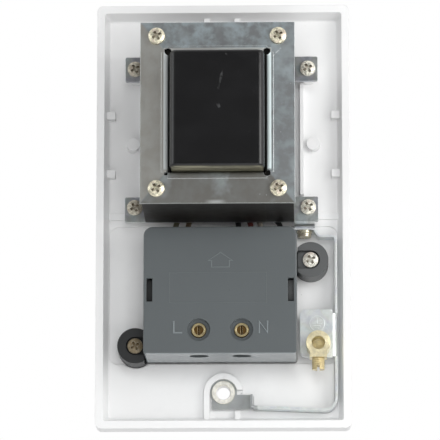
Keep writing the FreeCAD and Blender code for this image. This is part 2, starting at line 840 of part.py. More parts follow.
def shutter_slide():
    """The slide that closes the pin holes until it is pushed aside."""
    end = shutter_start_x + shutter_length
    body = block((shutter_start_x, end), (shutter_low_y, shutter_high_y),
                 (shutter_mid_z - shutter_height / 2, shutter_top_z))
    high_x = switch_x - shutter_travel - wedge_margin
    low_x = switch_x + wedge_margin
    corners = [(high_x, shutter_top_z - wedge_base), (low_x, shutter_top_z - wedge_base),
               (low_x, wedge_z - wedge_slope * wedge_margin),
               (high_x, wedge_z + wedge_slope * (shutter_travel + wedge_margin))]
    wedge = outline(corners, 0, on_back(shutter_low_y)).extrude(at(0, wedge_thickness, 0))
    body = joined([body, wedge])
    tools = []
    for place in pin_places:
        closed = (place[0] - shutter_travel, place[1])
        tools.append(rod_y(closed, shutter_hole_radius, shutter_low_y - 1, shutter_high_y + 1))
        ramp = shutter_thickness * 0.8
        tools.append(Part.makeCone(shutter_hole_radius + ramp, shutter_hole_radius, ramp,
                                   at(closed[0], shutter_low_y, closed[1]), at(0, 1, 0)))
    slot_start = spring_post_x - spring_length
    slot_end = spring_post_x + spring_post_width + loose_gap * 5
    slot = block((slot_start, slot_end), (shutter_low_y - 1, shutter_high_y + 1),
                 (shutter_mid_z - spring_slot_half, shutter_mid_z + spring_slot_half))
    tools.append(slot)
    return without(body, tools)


def shutter_spring():
    """The return spring between the base's post and the end of the slide's slot."""
    length = spring_length - 2 * spring_wire_radius - loose_gap
    helix = Part.makeHelix(length / spring_turns, length, spring_radius)
    turns = [radians(90 * turn) for turn in range(5)]
    ring = Part.makePolygon([at(spring_radius + spring_wire_radius * cos(turn), 0,
                                spring_wire_radius * sin(turn)) for turn in turns])
    coil = Part.Wire(helix).makePipeShell([ring], True, True)
    coil.rotate(at(0, 0, 0), at(0, 1, 0), -90)
    coil.translate(at(spring_post_x - spring_wire_radius - loose_gap / 2, (shutter_low_y + shutter_high_y) / 2,
                      shutter_mid_z))
    return coil


def switch_body():
    """The small switch that closes when the slide pushes its plunger in."""
    half = switch_width / 2
    body = block((switch_x - half, switch_x + half), (slab_y, slab_y + switch_depth),
                 (switch_low_z, switch_low_z + switch_height))
    return body.cut(rod_z(switch_x, plunger_y, plunger_radius + loose_gap, switch_low_z - 1,
                          plunger_tip_z() + plunger_length + wedge_slope * shutter_travel + slide_gap))


def plunger_tip_z():
    """The centre of the plunger's round tip, just off the slide's wedge."""
    return wedge_z + (plunger_radius + plunger_tip_gap) / cos(atan(wedge_slope))


def switch_plunger():
    """The round plunger, with a ball tip against the wedge."""
    tip_z = plunger_tip_z()
    shaft = rod_z(switch_x, plunger_y, plunger_radius, tip_z, tip_z + plunger_length)
    return joined([shaft, Part.makeSphere(plunger_radius, at(switch_x, plunger_y, tip_z))])


def core_holes():
    """The four clamp screw holes."""
    return [rod_y(place, core_screw_hole, core_low_y - 1, core_high_y + 1) for place in core_screw_places]


def core_e_stack():
    """The E laminations: a spine, two outer legs and the middle limb."""
    spine = core_x + core_window_length / 2
    edge = core_x + core_width / 2
    tips = core_x - core_window_length / 2
    half = core_height / 2
    limb = core_limb_width / 2
    window = limb + core_window_width
    corners = [(edge, -half), (edge, half), (tips, half), (tips, window), (spine, window), (spine, limb),
               (tips, limb), (tips, -limb), (spine, -limb), (spine, -window), (tips, -window), (tips, -half)]
    placed = [(x, core_z + z) for x, z in corners]
    stack = outline(placed, 0, on_back(core_low_y)).extrude(at(0, core_stack, 0))
    return without(stack, core_holes())


def core_i_stack():
    """The I laminations that close the E."""
    stack = block((core_x - core_width / 2, core_x - core_window_length / 2), (core_low_y, core_high_y),
                  (core_z - core_height / 2, core_z + core_height / 2))
    return without(stack, core_holes())


def coil_block(inset, side_round, end_round):
    """The coil's rounded block, taken in on every side by an inset."""
    half_length = coil_length / 2 - inset
    low = coil_front_y + inset
    high = coil_rear_y - inset
    corners = [(core_x - half_length, low), (core_x + half_length, low),
               (core_x + half_length, high), (core_x - half_length, high)]
    half_height = coil_height / 2 - inset
    body = outline(corners, side_round, on_floor(core_z - half_height)).extrude(at(0, 0, 2 * half_height))
    ends = []
    for edge in body.Edges:
        bounds = edge.BoundBox
        if bounds.ZMax - bounds.ZMin < 1e-4:
            ends.append(edge)
    return body.makeFillet(end_round, ends)


def limb_tunnel(margin, half_length):
    """The space round the core's middle limb, with a margin outside it."""
    half = core_limb_width / 2 + margin
    return block((core_x - half_length, core_x + half_length), (core_low_y - margin, core_high_y + margin),
                 (core_z - half, core_z + half))


def coil_tape():
    """The black tape that wraps the windings and the bobbin's cheeks."""
    outer = coil_block(0, coil_side_round, coil_end_round)
    inner = coil_block(tape_thickness, coil_side_round - tape_thickness, coil_end_round * 0.5)
    tunnel = limb_tunnel(bobbin_wall + 2 * loose_gap, coil_length)
    return without(outer, [inner, tunnel])


def bobbin():
    """The bobbin, with a cheek at each end and a divider between the windings."""
    half = coil_length / 2 - loose_gap
    tube = limb_tunnel(loose_gap + bobbin_wall, half)
    cheeks = []
    inset = tape_thickness + loose_gap
    block_inside = coil_block(inset, coil_side_round - tape_thickness, coil_end_round * 0.5)
    reach = coil_length / 2 - inset
    spans = ((-reach, -reach + bobbin_cheek), (-bobbin_divider / 2, bobbin_divider / 2),
             (reach - bobbin_cheek, reach))
    for start, end in spans:
        slice_box = block((core_x + start, core_x + end), (coil_front_y, coil_rear_y),
                          (core_z - coil_height / 2, core_z + coil_height / 2))
        cheeks.append(block_inside.common(slice_box))
    return joined([tube] + cheeks).cut(limb_tunnel(loose_gap, coil_length))


def winding(side):
    """One winding, in its own half of the bobbin."""
    reach = coil_length / 2 - tape_thickness - loose_gap - bobbin_cheek
    start = core_x + side * bobbin_divider / 2
    end = core_x + side * reach
    inset = tape_thickness + winding_gap
    low = coil_front_y + inset
    high = coil_rear_y - inset
    half = coil_height / 2 - inset
    ring = block((start, end), (low, high), (core_z - half, core_z + half))
    return ring.cut(limb_tunnel(loose_gap + bobbin_wall, coil_length))


def thermal_cutout():
    """The thermal cut-out that is taped to the coil's lower side."""
    return block((cutout_x - cutout_width / 2, cutout_x + cutout_width / 2),
                 (coil_front_y + coil_side_round, coil_front_y + coil_side_round + cutout_depth),
                 (coil_low_z - cutout_height, coil_low_z))


def feet_plate():
    """The plate under the core, with four ears and the flange for the earth strap."""
    high = feet_level + feet_thickness
    body = slab((core_x, core_z), core_width, core_height, 0, feet_level, high)
    ears = []
    for x, z in feet_screw_places:
        side = 1 if x > core_x else -1
        upper = z > core_z
        low_z = core_z - core_height / 2
        centre_z = z if upper else low_z + feet_ear_height / 2
        inner = core_x + side * (core_width / 2 - feet_ear_corner)
        outer = x + side * feet_ear_reach
        ears.append(slab(((inner + outer) / 2, centre_z), abs(outer - inner), feet_ear_height,
                         feet_ear_corner, feet_level, high))
    path = [(core_z - core_height / 2 + feet_ear_height / 2, feet_level + feet_thickness / 2),
            (core_z - core_height / 2 - feet_thickness / 2, feet_level + feet_thickness / 2),
            (core_z - core_height / 2 - feet_thickness / 2, high - earth_flange_depth)]
    start = feet_inner_x() - earth_flange_width
    flange = bent_strip(path, [feet_thickness], feet_thickness, lambda point: at(start, point[1], point[0]),
                        at(earth_flange_width, 0, 0))
    body = joined([body] + ears + [flange])
    window = block((core_x - coil_length / 2 - 0.6, core_x + coil_length / 2 + 0.6), (feet_level - 1, high + 1),
                   (core_z - coil_height / 2 - 0.7, core_z + coil_height / 2 + 0.7))
    tools = [window]
    tools += [rod_y(place, core_screw_hole, feet_level - 1, high + 1) for place in core_screw_places]
    tools += [rod_y(place, small_shank_radius + loose_gap, feet_level - 1, high + 1)
              for place in feet_screw_places]
    tools.append(rod_z(strap_screw_x(), strap_screw_y(), strap_screw_shank_radius + press_gap,
                       feet_flange_z() - 1, feet_flange_z() + feet_thickness + 0.5))
    return without(body, tools)


def strap_screw_x():
    """Across the plate, the middle of the ear's flange."""
    return feet_inner_x() - earth_flange_width / 2


def strap_screw_y():
    """The level of the screw that holds the strap's end."""
    return (strap_low_y + strap_high_y) / 2


def cover_frustum(top):
    """A shallow block whose back slopes down from the window to the outer edge."""
    width = core_width + 2 * cover_overhang
    height = core_height + 2 * cover_overhang
    faces = []
    for size, level in (((width, height), top - cover_slope_drop),
                        ((cover_window_width, cover_window_length), top)):
        corners = rectangle((core_x, core_z), size[0], size[1])
        points = [at(x, level, z) for x, z in corners]
        faces.append(Part.makePolygon(points + [points[0]]))
    peak = Part.makeLoft(faces, True, True)
    skirt = slab((core_x, core_z), width, height, 0, core_high_y - 5, top - cover_slope_drop)
    return peak.fuse(skirt)


def cover_lip(side, along_x):
    """The turned-in lip on one side of the cover's window."""
    middle = cover_lip_radius - cover_sheet / 2
    level = cover_top_y - cover_sheet / 2
    half = (cover_window_width if along_x else cover_window_length) / 2
    outer = half
    inner = half - cover_lip_radius + cover_sheet / 2
    path = [(side * (outer + cover_sheet), level), (side * inner, level), (side * inner, core_high_y)]
    cross = (cover_window_length if along_x else cover_window_width) / 2 - cover_relief_radius
    if along_x:
        return bent_strip([(core_x + a, b) for a, b in path], [middle], cover_sheet,
                          on_floor(core_z - cross), at(0, 0, 2 * cross))
    return bent_strip([(core_z + a, b) for a, b in path], [middle], cover_sheet,
                      lambda point: at(core_x - cross, point[1], point[0]), at(2 * cross, 0, 0))


def screw_seat_y():
    """The level of the spot faces for the clamp screws on the sloping frame."""
    run = (core_height + 2 * cover_overhang - cover_window_length) / 2
    share = (core_screw_spacing_z - cover_window_length) / 2 / run
    return cover_top_y - cover_slope_drop * share - loose_gap


def top_cover():
    """The pressed clamp frame, with sloping sides, a lipped window and relief holes."""
    sheet = cover_frustum(cover_top_y).cut(cover_frustum(cover_top_y - cover_sheet))
    below = block((-plate_width, plate_width), (0, cover_top_y - cover_slope_drop - cover_sheet),
                  (-plate_height, plate_height))
    sheet = sheet.cut(below)
    window = slab((core_x, core_z), cover_window_width, cover_window_length, 0, core_high_y - 6,
                  cover_top_y + 1)
    sheet = sheet.cut(window)
    lips = [cover_lip(side, along_x) for side in (-1, 1) for along_x in (True, False)]
    frame = joined([sheet] + lips)
    tools = []
    corner_x = cover_window_width / 2 - cover_lip_radius
    corner_z = cover_window_length / 2 - cover_lip_radius * 0.7
    for side in (-1, 1):
        for row in (-1, 1):
            tools.append(rod_y((core_x + side * corner_x, core_z + row * corner_z), cover_relief_radius,
                               core_high_y - 1, cover_top_y + 1))
    for place in core_screw_places:
        tools.append(rod_y(place, core_screw_hole, core_high_y, cover_top_y + 1))
        tools.append(rod_y(place, screw_head_radius + loose_gap, screw_seat_y(), cover_top_y + 1))
    return without(frame, tools)


def hex_nut(place):
    """A nut under the feet plate."""
    radius = nut_flats / sqrt(3)
    corners = [(place[0] + radius * cos(radians(60 * turn)), place[1] + radius * sin(radians(60 * turn)))
               for turn in range(6)]
    body = outline(corners, 0, on_back(feet_level - nut_height)).extrude(at(0, nut_height, 0))
    return body.cut(rod_y(place, screw_shank_radius + press_gap, feet_level - nut_height - 1, feet_level + 1))


def earth_strap():
    """The strap on edge, with the terminal plate and the fixing tab folded from it."""
    strip = bent_strip(strap_path(), strap_bends(), strap_thickness, on_back(strap_low_y),
                       at(0, strap_width, 0))
    rise = block((-fixing_tab_reach - strap_thickness / 2, -fixing_tab_reach + strap_thickness / 2),
                 (0, strap_high_y), (strap_end_z, strap_end_z + fixing_tab_width - strap_thickness))
    tab_low = strap_end_z - strap_thickness / 2
    tab = block((-fixing_tab_reach, eyelet_radius), (0, strap_thickness), (tab_low, tab_low + fixing_tab_width))
    ring = rod_y((0, -fixing_pitch / 2), fixing_tab_end_radius, 0, strap_thickness)
    outer_x = strap_wall_x - strap_thickness / 2
    flat_start = outer_x + earth_fold_radius
    flat_width = earth_plate_width - earth_fold_radius
    plate = slab((flat_start + flat_width / 2, earth_plate_z), flat_width, earth_plate_height,
                 [0, earth_plate_corner, earth_plate_corner, 0], strap_high_y - strap_thickness, strap_high_y)
    fold_z = (earth_plate_z - earth_plate_height / 2 + earth_fold_low_inset,
              earth_plate_z + earth_plate_height / 2 - earth_fold_high_inset)
    fold_y = strap_high_y - earth_fold_radius
    bar = block((outer_x, flat_start + loose_gap), (fold_y, strap_high_y), fold_z)
    hollow = rod_z(flat_start, fold_y, earth_fold_radius - strap_thickness, fold_z[0] - 1, fold_z[1] + 1)
    under = block((flat_start, flat_start + 1), (fold_y - 1, strap_high_y - strap_thickness),
                  (fold_z[0] - 1, fold_z[1] + 1))
    bar = without(bar, [hollow, under])
    body = joined([strip, rise, tab, ring, plate, bar])
    rounded = rod_z(flat_start, fold_y, earth_fold_radius, fold_z[0] - 1, fold_z[1] + 1)
    sharp = block((outer_x - 1, flat_start), (fold_y, strap_high_y + 1), fold_z).cut(rounded)
    tools = [sharp]
    under_pad = block((-fixing_tab_reach - strap_thickness, eyelet_radius + pad_radius), (floor_y, 0),
                      (strap_end_z - strap_thickness, -fixing_pitch / 2 + pad_radius))
    tools.append(under_pad)
    tools.append(rod_y((0, -fixing_pitch / 2), eyelet_neck + press_gap, -1, rim_y))
    tools.append(rod_y((lug_x, lug_z), lug_rivet_radius, floor_y, rim_y))
    tools.append(rod_z(strap_screw_x(), strap_screw_y(), strap_screw_shank_radius + loose_gap,
                       feet_flange_z() - strap_thickness - 1, feet_flange_z() + 1))
    return without(body, tools)


def fixing_eyelet():
    """The eyelet in the strap's tab, round the lower fixing hole."""
    place = (0, -fixing_pitch / 2)
    neck = rod_y(place, eyelet_neck, 0, strap_thickness + eyelet_flange)
    flange = rod_y(place, eyelet_radius, strap_thickness, strap_thickness + eyelet_flange)
    return joined([neck, flange]).cut(rod_y(place, eyelet_bore, -1, rim_y))


def earth_lug():
    """The brass pillar riveted to the terminal plate, bored for the wire and threaded across."""
    low = strap_high_y
    high = low + lug_length
    under = low - strap_thickness
    pillar = rod_y((lug_x, lug_z), lug_radius, low, high)
    half = lug_neck_width / 2
    neck = block((lug_x - half, lug_x + half), (low, high), (lug_z - lug_neck_reach, lug_z))
    rivet = rod_y((lug_x, lug_z), lug_rivet_radius, under - lug_rivet_head_height, low + lug_floor / 2)
    rivet_head = rod_y((lug_x, lug_z), lug_rivet_head_radius, under - lug_rivet_head_height, under)
    body = joined([pillar, neck, rivet, rivet_head])
    thread = rod_z(lug_x, lug_screw_y(), lug_screw_radius + press_gap, lug_z - lug_neck_reach - 1, lug_z)
    return without(body, [rod_y((lug_x, lug_z), lug_bore_radius, low + lug_floor, high + 1), thread])


def lug_screw_y():
    """The level of the lug's clamp screw, in the middle of its bore."""
    return strap_high_y + (lug_floor + lug_length) / 2


def earth_lug_screw():
    """The slotted clamp screw of the lug, backed off clear of its bore."""
    tip = lug_z - lug_bore_radius - loose_gap
    end = lug_z - lug_neck_reach - lug_screw_stand
    y = lug_screw_y()
    body = rod_z(lug_x, y, lug_screw_radius, end, tip)
    half = lug_slot_width / 2
    slot = block((lug_x - half, lug_x + half), (y - lug_screw_radius, y + lug_screw_radius),
                 (end - 1, end + lug_slot_depth))
    return body.cut(slot)


def strap_screw():
    """The screw and captive washer that hold the strap's end to the flange of the feet plate."""
    face = feet_flange_z() - strap_thickness
    x = strap_screw_x()
    y = strap_screw_y()
    seat = face - strap_washer_thickness
    washer = rod_z(x, y, strap_washer_radius, seat, face)
    head = rod_z(x, y, strap_screw_head_radius, seat - strap_screw_head_height, seat)
    shank = rod_z(x, y, strap_screw_shank_radius, seat - strap_screw_head_height,
                  feet_flange_z() + feet_thickness + press_gap)
    return joined([washer, head, shank])


def lead_ends():
    """Across the plate, where each lead enters the housing and where it leaves the coil."""
    return [(16.2, 12.6), (11.9, 9.4), (-5.3, -3.6), (-9.5, -6.6), (-12.9, -9.2), (-19.6, -12.0)]


def lead(housing_end, coil_end):
    """One lead from the coil's lower side into the housing's top wall."""
    entry_z = housing_top_z - housing_wall - loose_gap
    points = [at(coil_end, lead_coil_level, coil_low_z),
              at(coil_end, lead_coil_level, coil_low_z - lead_straight),
              at(housing_end, lead_housing_level, entry_z + lead_housing_straight),
              at(housing_end, lead_housing_level, entry_z)]
    return round_tube(points, lead_radius, lead_bend_share)


def build():
    """Makes every piece and writes it to its own file."""
    save("front_plate", [front_plate()])
    save("outlet_insert", [outlet_insert()])
    save("housing_base", [housing_base()])
    save("housing_cover", [housing_cover()])
    save("housing_screws", [pan_screw(place, ear_seat_y, floor_y + 0.5, small_head_radius, small_head_height,
                                      small_shank_radius) for place in ear_places])
    save("live_terminal", [terminal(terminal_places[0])])
    save("neutral_terminal", [terminal(terminal_places[1])])
    save("terminal_screws", [terminal_screw(place) for place in terminal_places])
    for index, place in enumerate(pin_places):
        save("outlet_contact_" + str(index + 1), [outlet_contact(place)])
    save("shutter_slide", [shutter_slide()])
    save("shutter_spring", [shutter_spring()])
    save("switch_body", [switch_body()])
    save("switch_plunger", [switch_plunger()])
    save("core_e_stack", [core_e_stack()])
    save("core_i_stack", [core_i_stack()])
    save("bobbin", [bobbin()])
    save("primary_winding", [winding(1)])
    save("secondary_winding", [winding(-1)])
    save("coil_tape", [coil_tape()])
    save("thermal_cutout", [thermal_cutout()])
    save("top_cover", [top_cover()])
    save("feet_plate", [feet_plate()])
    tail = feet_level - nut_height - screw_tail
    save("core_screws", [pan_screw(place, screw_seat_y(), tail, screw_head_radius, screw_head_height,
                                   screw_shank_radius) for place in core_screw_places])
    save("core_nuts", [hex_nut(place) for place in core_screw_places])
    save("feet_screws", [pan_screw(place, core_low_y, floor_y + 0.5, small_head_radius, small_head_height,
                                   small_shank_radius) for place in feet_screw_places])
    save("earth_strap", [earth_strap()])
    save("fixing_eyelet", [fixing_eyelet()])
    save("earth_lug", [earth_lug()])
    save("earth_lug_screw", [earth_lug_screw()])
    save("strap_screw", [strap_screw()])
    names = ["primary_lead_" + str(index) for index in (1, 2)]
    names += ["secondary_lead_" + str(index) for index in (1, 2, 3, 4)]
    for name, (housing_end, coil_end) in zip(names, lead_ends()):
        save(name, [lead(housing_end, coil_end)])


os.makedirs("parts", exist_ok=True)
build()
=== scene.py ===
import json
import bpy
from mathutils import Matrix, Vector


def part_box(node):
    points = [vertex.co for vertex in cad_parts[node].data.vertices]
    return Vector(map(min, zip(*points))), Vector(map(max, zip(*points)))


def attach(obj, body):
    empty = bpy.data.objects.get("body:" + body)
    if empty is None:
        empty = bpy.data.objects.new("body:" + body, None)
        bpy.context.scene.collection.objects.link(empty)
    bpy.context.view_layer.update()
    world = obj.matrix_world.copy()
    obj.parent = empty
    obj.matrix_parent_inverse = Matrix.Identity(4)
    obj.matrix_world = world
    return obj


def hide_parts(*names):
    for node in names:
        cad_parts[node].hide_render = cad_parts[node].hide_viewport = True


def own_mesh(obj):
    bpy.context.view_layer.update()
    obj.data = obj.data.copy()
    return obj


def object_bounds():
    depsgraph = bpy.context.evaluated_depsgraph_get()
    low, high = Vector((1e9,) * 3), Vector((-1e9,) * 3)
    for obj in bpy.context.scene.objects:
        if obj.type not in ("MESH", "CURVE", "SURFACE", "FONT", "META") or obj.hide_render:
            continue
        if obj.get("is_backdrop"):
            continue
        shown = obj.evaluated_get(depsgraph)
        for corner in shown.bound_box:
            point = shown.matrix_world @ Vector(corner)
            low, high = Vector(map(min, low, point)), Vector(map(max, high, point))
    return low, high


bl_info = {
    "name": "Shaver Socket",
    "version": (1, 0, 0),
    "blender": (4, 5, 0),
    "location": "3D View > Sidebar > Shaver Socket",
    "description": "Finishes, raised marks and a studio for a wall shaver socket, seen from its wiring side",
    "category": "Object",
}

from math import cos, pi, radians, sin, sqrt

import bmesh
import bpy
from mathutils import Vector

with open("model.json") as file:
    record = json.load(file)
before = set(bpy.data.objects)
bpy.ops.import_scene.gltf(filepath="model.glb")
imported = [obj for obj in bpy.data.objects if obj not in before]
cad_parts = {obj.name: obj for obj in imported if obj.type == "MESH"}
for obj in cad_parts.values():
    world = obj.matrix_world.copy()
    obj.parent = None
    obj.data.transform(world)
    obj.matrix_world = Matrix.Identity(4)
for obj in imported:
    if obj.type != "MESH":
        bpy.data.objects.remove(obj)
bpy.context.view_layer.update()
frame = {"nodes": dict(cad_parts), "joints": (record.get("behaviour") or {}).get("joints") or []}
MM = 0.001
UNIT = "unit"

# Tones that wear, dust and light leave on a surface, in linear colour
SCUFFED_ZINC = (0.90, 0.94, 0.94)
SHEARED_ZINC = (0.90, 0.92, 0.92)
SPANGLED_ZINC = (0.80, 0.86, 0.88)
COPPERY_ZINC = (0.74, 0.60, 0.52)
RUBBED_SCREW = (0.96, 0.94, 0.84)
RUBBED_BRASS = (0.98, 0.88, 0.62)
LIT_LIP = (0.86, 0.97, 0.97)
SHADED_LIP = (0.52, 0.55, 0.55)
SHADED_UPPER_LIP = (0.36, 0.355, 0.34)
SCREW_DARKENING = (0.10, 0.07, 0.03)
TERMINAL_DIRT = (0.03, 0.015, 0.006)
GREY_CLOUD = (0.60, 0.60, 0.62)
BROWN_DUST = (0.30, 0.29, 0.27)
PALE_DUST = (0.20, 0.20, 0.21)
TAPE_WEAR = (0.22, 0.225, 0.23)
RAINBOW = ((0.30, (0.34, 0.40, 0.66)), (0.44, (0.62, 0.48, 0.70)), (0.56, (0.72, 0.70, 0.50)),
           (0.70, (0.46, 0.70, 0.68)))

# Samples of the rounded edges and of the shade in hollows
BEVEL_SAMPLES = 6
HOLLOW_SAMPLES = 8

# Repeats of fine relief, in millimetres
TOOL_MARK_PITCH = 0.22
WIRE_PITCH = 0.28

# Wear of the clamp cover, as X and Z on the object in millimetres
COVER_SCRAPE = ((-20.2, 48.9), (-17.4, 45.8))
COVER_SCRAPE_WIDTH = 0.30
COVER_RUB = (1.6, -3.2)

# Where the strap's tab begins, along X and down from the middle, in millimetres
STRAP_TAB_X = (-12.0, -11.0)
STRAP_TAB_DEPTH = (50, 52)

# Marks on the tape: start, end, width and strength
TAPE_MARKS = (((-0.9, 39.6), (0.5, 33.2), 0.42, 0.10),
              ((-0.9, 38.9), (-0.1, 36.6), 0.6, 0.12),
              ((-0.2, 27.9), (1.0, 27.4), 1.0, 0.20),
              ((-2.4, 45.3), (-1.8, 44.9), 0.5, 0.25))

# How far the clamp cover's lips reach out from the coil, across and up, in millimetres
LIP_REACH = (1.95, 1.6)

# Raised marks, in millimetres, drawn as they read from the wiring side
HOUSE = ((0, 2.5), (4.05, -0.28), (2.96, -0.28), (2.96, -2.5), (-2.96, -2.5), (-2.96, -0.28), (-4.05, -0.28))
HOUSE_MIDDLE = (0.53, -18.35)
FIELD = ((-16.2, 5.1), (16.2, 5.1), (16.2, -5.1), (-16.2, -5.1))
FIELD_MIDDLE = (1.35, -27.8)
LIVE_HALF_WIDTH = 1.3
NEUTRAL_HALF_WIDTH = 1.35
LIVE_MIDDLE = (14.8, -41.2)
NEUTRAL_MIDDLE = (-13.75, -41.2)
EARTH_MIDDLE = (-31.6, -37.5)
EARTH_RING_STEPS = 32
EARTH_STEM_FOOT = 0.05
LUG_BORE_Z = -44.8

# The earth mark's stem and bars, as shares of its radius: half length and drop of each bar
EARTH_STEM_TOP = 0.62
EARTH_BARS = ((0.62, 0.0), (0.42, 0.34), (0.2, 0.66))

# A raised mark's section: shares of its width and height
RIDGE_SECTION = ((-0.5, 0.0), (-0.36, 0.75), (-0.2, 1.0), (0.2, 1.0), (0.36, 0.75), (0.5, 0.0))
RIDGE_SUNK = 0.00002
MITRE_LEAST = 0.45
MITRE_MOST = 1.9

# Lamps: name, place, size, setting of its power, colour and whether shiny faces show it
LAMPS = (("key_lamp", (-0.24, 0.22, 0.03), 0.16, "key_power", (1.0, 0.995, 0.98), True),
         ("low_lamp", (-0.05, 0.30, -0.19), 0.12, "low_power", (1.0, 0.99, 0.97), True),
         ("side_lamp", (0.50, 0.25, 0.15), 0.2, "side_power", (0.93, 0.99, 1.0), True),
         ("front_lamp", (-0.10, 0.90, 0.10), 0.4, "front_power", (0.99, 1.0, 1.0), False))
LAMP_TARGET = (0, 0.005, 0)

# The even light: its level from behind the object round to its dim side, and the way to that side
SKY_LEVELS = ((0.0, 1.0), (0.62, 1.0), (0.80, 0.66), (0.93, 0.27), (1.0, 0.22))
SKY_AXIS = (0.0, 0.98, 0.19)
SKY_SIDE_LEVEL = 0.66

FLOOR_HALF = 2.5
CAMERA_AIM_X = 0.00098
CAMERA_AIM_Z = -0.0023
CAMERA_SENSOR = 36.0
CAMERA_CLIP = (0.01, 50)


def colour_setting(name, default, description):
    """A colour that the user can change."""
    return bpy.props.FloatVectorProperty(name=name, description=description, default=default, size=3,
                                         subtype="COLOR", min=0, max=1)


def length_setting(name, default, description):
    """A length that the user can change, in metres."""
    return bpy.props.FloatProperty(name=name, description=description, default=default, min=0,
                                   subtype="DISTANCE", unit="LENGTH", precision=5)


def power_setting(name, default, description):
    """A lamp's power that the user can change, in watts."""
    return bpy.props.FloatProperty(name=name, description=description, default=default, min=0,
                                   subtype="POWER", unit="POWER")


def angle_setting(name, degrees, description):
    """An angle that the user can change."""
    return bpy.props.FloatProperty(name=name, description=description, default=radians(degrees),
                                   subtype="ANGLE", unit="ROTATION")


class ShaverSocketColours(bpy.types.PropertyGroup):
    """The colours of the socket's plastics, metals, tape and leads."""

    tray: colour_setting("Tray", (0.88, 0.88, 0.882), "White moulding of the tray and its ribs")
    insert: colour_setting("Outlet face", (0.82, 0.82, 0.82), "White moulding of the outlet face")
    cover: colour_setting("Housing cover", (0.104, 0.116, 0.121), "Grey moulding of the housing cover")
    base: colour_setting("Housing base", (0.052, 0.054, 0.055), "Dark moulding of the housing base and ears")
    shutter: colour_setting("Shutter", (0.70, 0.69, 0.66), "Moulding of the shutter slide")
    plunger: colour_setting("Plunger", (0.42, 0.06, 0.04), "Moulding of the switch plunger")
    bobbin: colour_setting("Bobbin", (0.02, 0.02, 0.02), "Moulding of the bobbin")
    zinc: colour_setting("Clamp cover", (0.40, 0.42, 0.43), "Zinc plate of the clamp cover")
    zinc_cool: colour_setting("Cool zinc", (0.46, 0.53, 0.56), "Bluish patches in the zinc plate")
    # Used as painted light on the clamp cover's left side and as painted shade on its lower side
    zinc_side_light_and_shade: colour_setting("Warm zinc", (0.43, 0.41, 0.37), "Brownish patches in the zinc plate")
    strap: colour_setting("Earth strap", (0.90, 0.95, 0.95), "Bright zinc plate of the strap")
    mark: colour_setting("Earth mark", (0.94, 1.0, 1.0), "Raised mark on the earth plate")
    spring: colour_setting("Spring", (0.60, 0.60, 0.62), "Wire of the shutter's spring")
    screw: colour_setting("Screws", (0.97, 0.91, 0.70), "Yellow zinc plate of the screws in the core")
    foot_screw: colour_setting("Foot screws", (1.0, 0.97, 0.84), "Pale zinc plate of the feet's screws")
    ear_screw: colour_setting("Ear screws", (1.0, 0.98, 0.88), "Pale zinc plate of the housing's screws")
    brass: colour_setting("Brass", (0.92, 0.76, 0.42), "Machined brass of screws and contacts")
    lug_brass: colour_setting("Lug brass", (1.0, 0.90, 0.60), "Pale brass of the earth lug")
    eyelet_brass: colour_setting("Eyelet brass", (1.0, 0.98, 0.90), "Bright plated brass of the eyelet")
    dark_brass: colour_setting("Dark brass", (0.30, 0.18, 0.06), "Brass of the terminals, in their recesses")
    varnish: colour_setting("Core varnish", (0.010, 0.009, 0.008), "Black varnish on the laminations")
    e_streak: colour_setting("E sheet streaks", (0.040, 0.034, 0.026), "Brown streaks on the E laminations")
    i_streak: colour_setting("I sheet streaks", (0.034, 0.030, 0.026), "Brown streaks on the I laminations")
    tape: colour_setting("Coil tape", (0.0055, 0.0055, 0.0060), "Black tape round the coil")
    # Olive tone of the coil's lower side
    tape_end: colour_setting("Coil side", (0.215, 0.205, 0.145), "Olive film on the coil's lower side")
    copper: colour_setting("Copper", (0.60, 0.22, 0.09), "Enamelled wire of the windings")
    yellow: colour_setting("Yellow lead", (0.075, 0.070, 0.040), "Insulation of the first lead")
    orange: colour_setting("Orange lead", (0.080, 0.055, 0.030), "Insulation of the second lead")
    black: colour_setting("Black lead", (0.008, 0.008, 0.008), "Insulation of the black leads")
    red: colour_setting("Red lead", (0.10, 0.02, 0.015), "Insulation of the dark red lead")
    cream: colour_setting("Cream lead", (0.27, 0.245, 0.205), "Insulation of the pale lead")


class ShaverSocketSizes(bpy.types.PropertyGroup):
    """The sizes of the raised marks and of the surface detail."""

    mark_width: length_setting("Mark width", 0.00062, "Stroke width of the raised letters")
    mark_height: length_setting("Mark height", 0.00026, "How far the letters stand out of the cover")
    outline_width: length_setting("Outline width", 0.00034, "Stroke width of the thin raised outlines")
    outline_height: length_setting("Outline height", 0.00014, "How far the thin outlines stand out")
    letter_height: length_setting("Letter height", 0.0037, "Height of the letters beside the terminals")
    symbol_radius: length_setting("Symbol radius", 0.0025, "Radius of the ring of the earth mark")
    edge_round: length_setting("Edge round", 0.00022, "How far moulded edges look rounded")
    lamination: length_setting("Lamination", 0.0005, "Thickness of one sheet of the core")
    thread_pitch: length_setting("Thread pitch", 0.0007, "Pitch of the visible screw threads")


class ShaverSocketStudio(bpy.types.PropertyGroup):
    """The lamps, the backdrop and the camera."""

    key_power: power_setting("Key lamp", 0.35, "Power of the near lamp at the viewer's right")
    low_power: power_setting("Low lamp", 0.05, "Power of the lamp low in front")
    side_power: power_setting("Side lamp", 0.17, "Power of the cool lamp at the viewer's left")
    front_power: power_setting("Front lamp", 2.85, "Power of the soft lamp ahead, which no metal shows")
    ambient: bpy.props.FloatProperty(name="Ambient", description="Level of the light from all round",
                                     default=0.89, min=0, max=2)
    floor: colour_setting("Floor", (0.86, 0.86, 0.86), "Pale floor below the object")
    floor_drop: length_setting("Floor drop", 0.15, "How far the floor lies below the object")
    distance: length_setting("Camera distance", 1.3, "From the camera to the tray's rim")
    lens: bpy.props.FloatProperty(name="Lens", description="Focal length of the camera, in millimetres",
                                  default=314.8, min=1, subtype="DISTANCE_CAMERA", unit="CAMERA")
    azimuth: angle_setting("Azimuth", 181.4, "Direction the camera looks from")
    elevation: angle_setting("Elevation", -11.5, "Height the camera looks from")


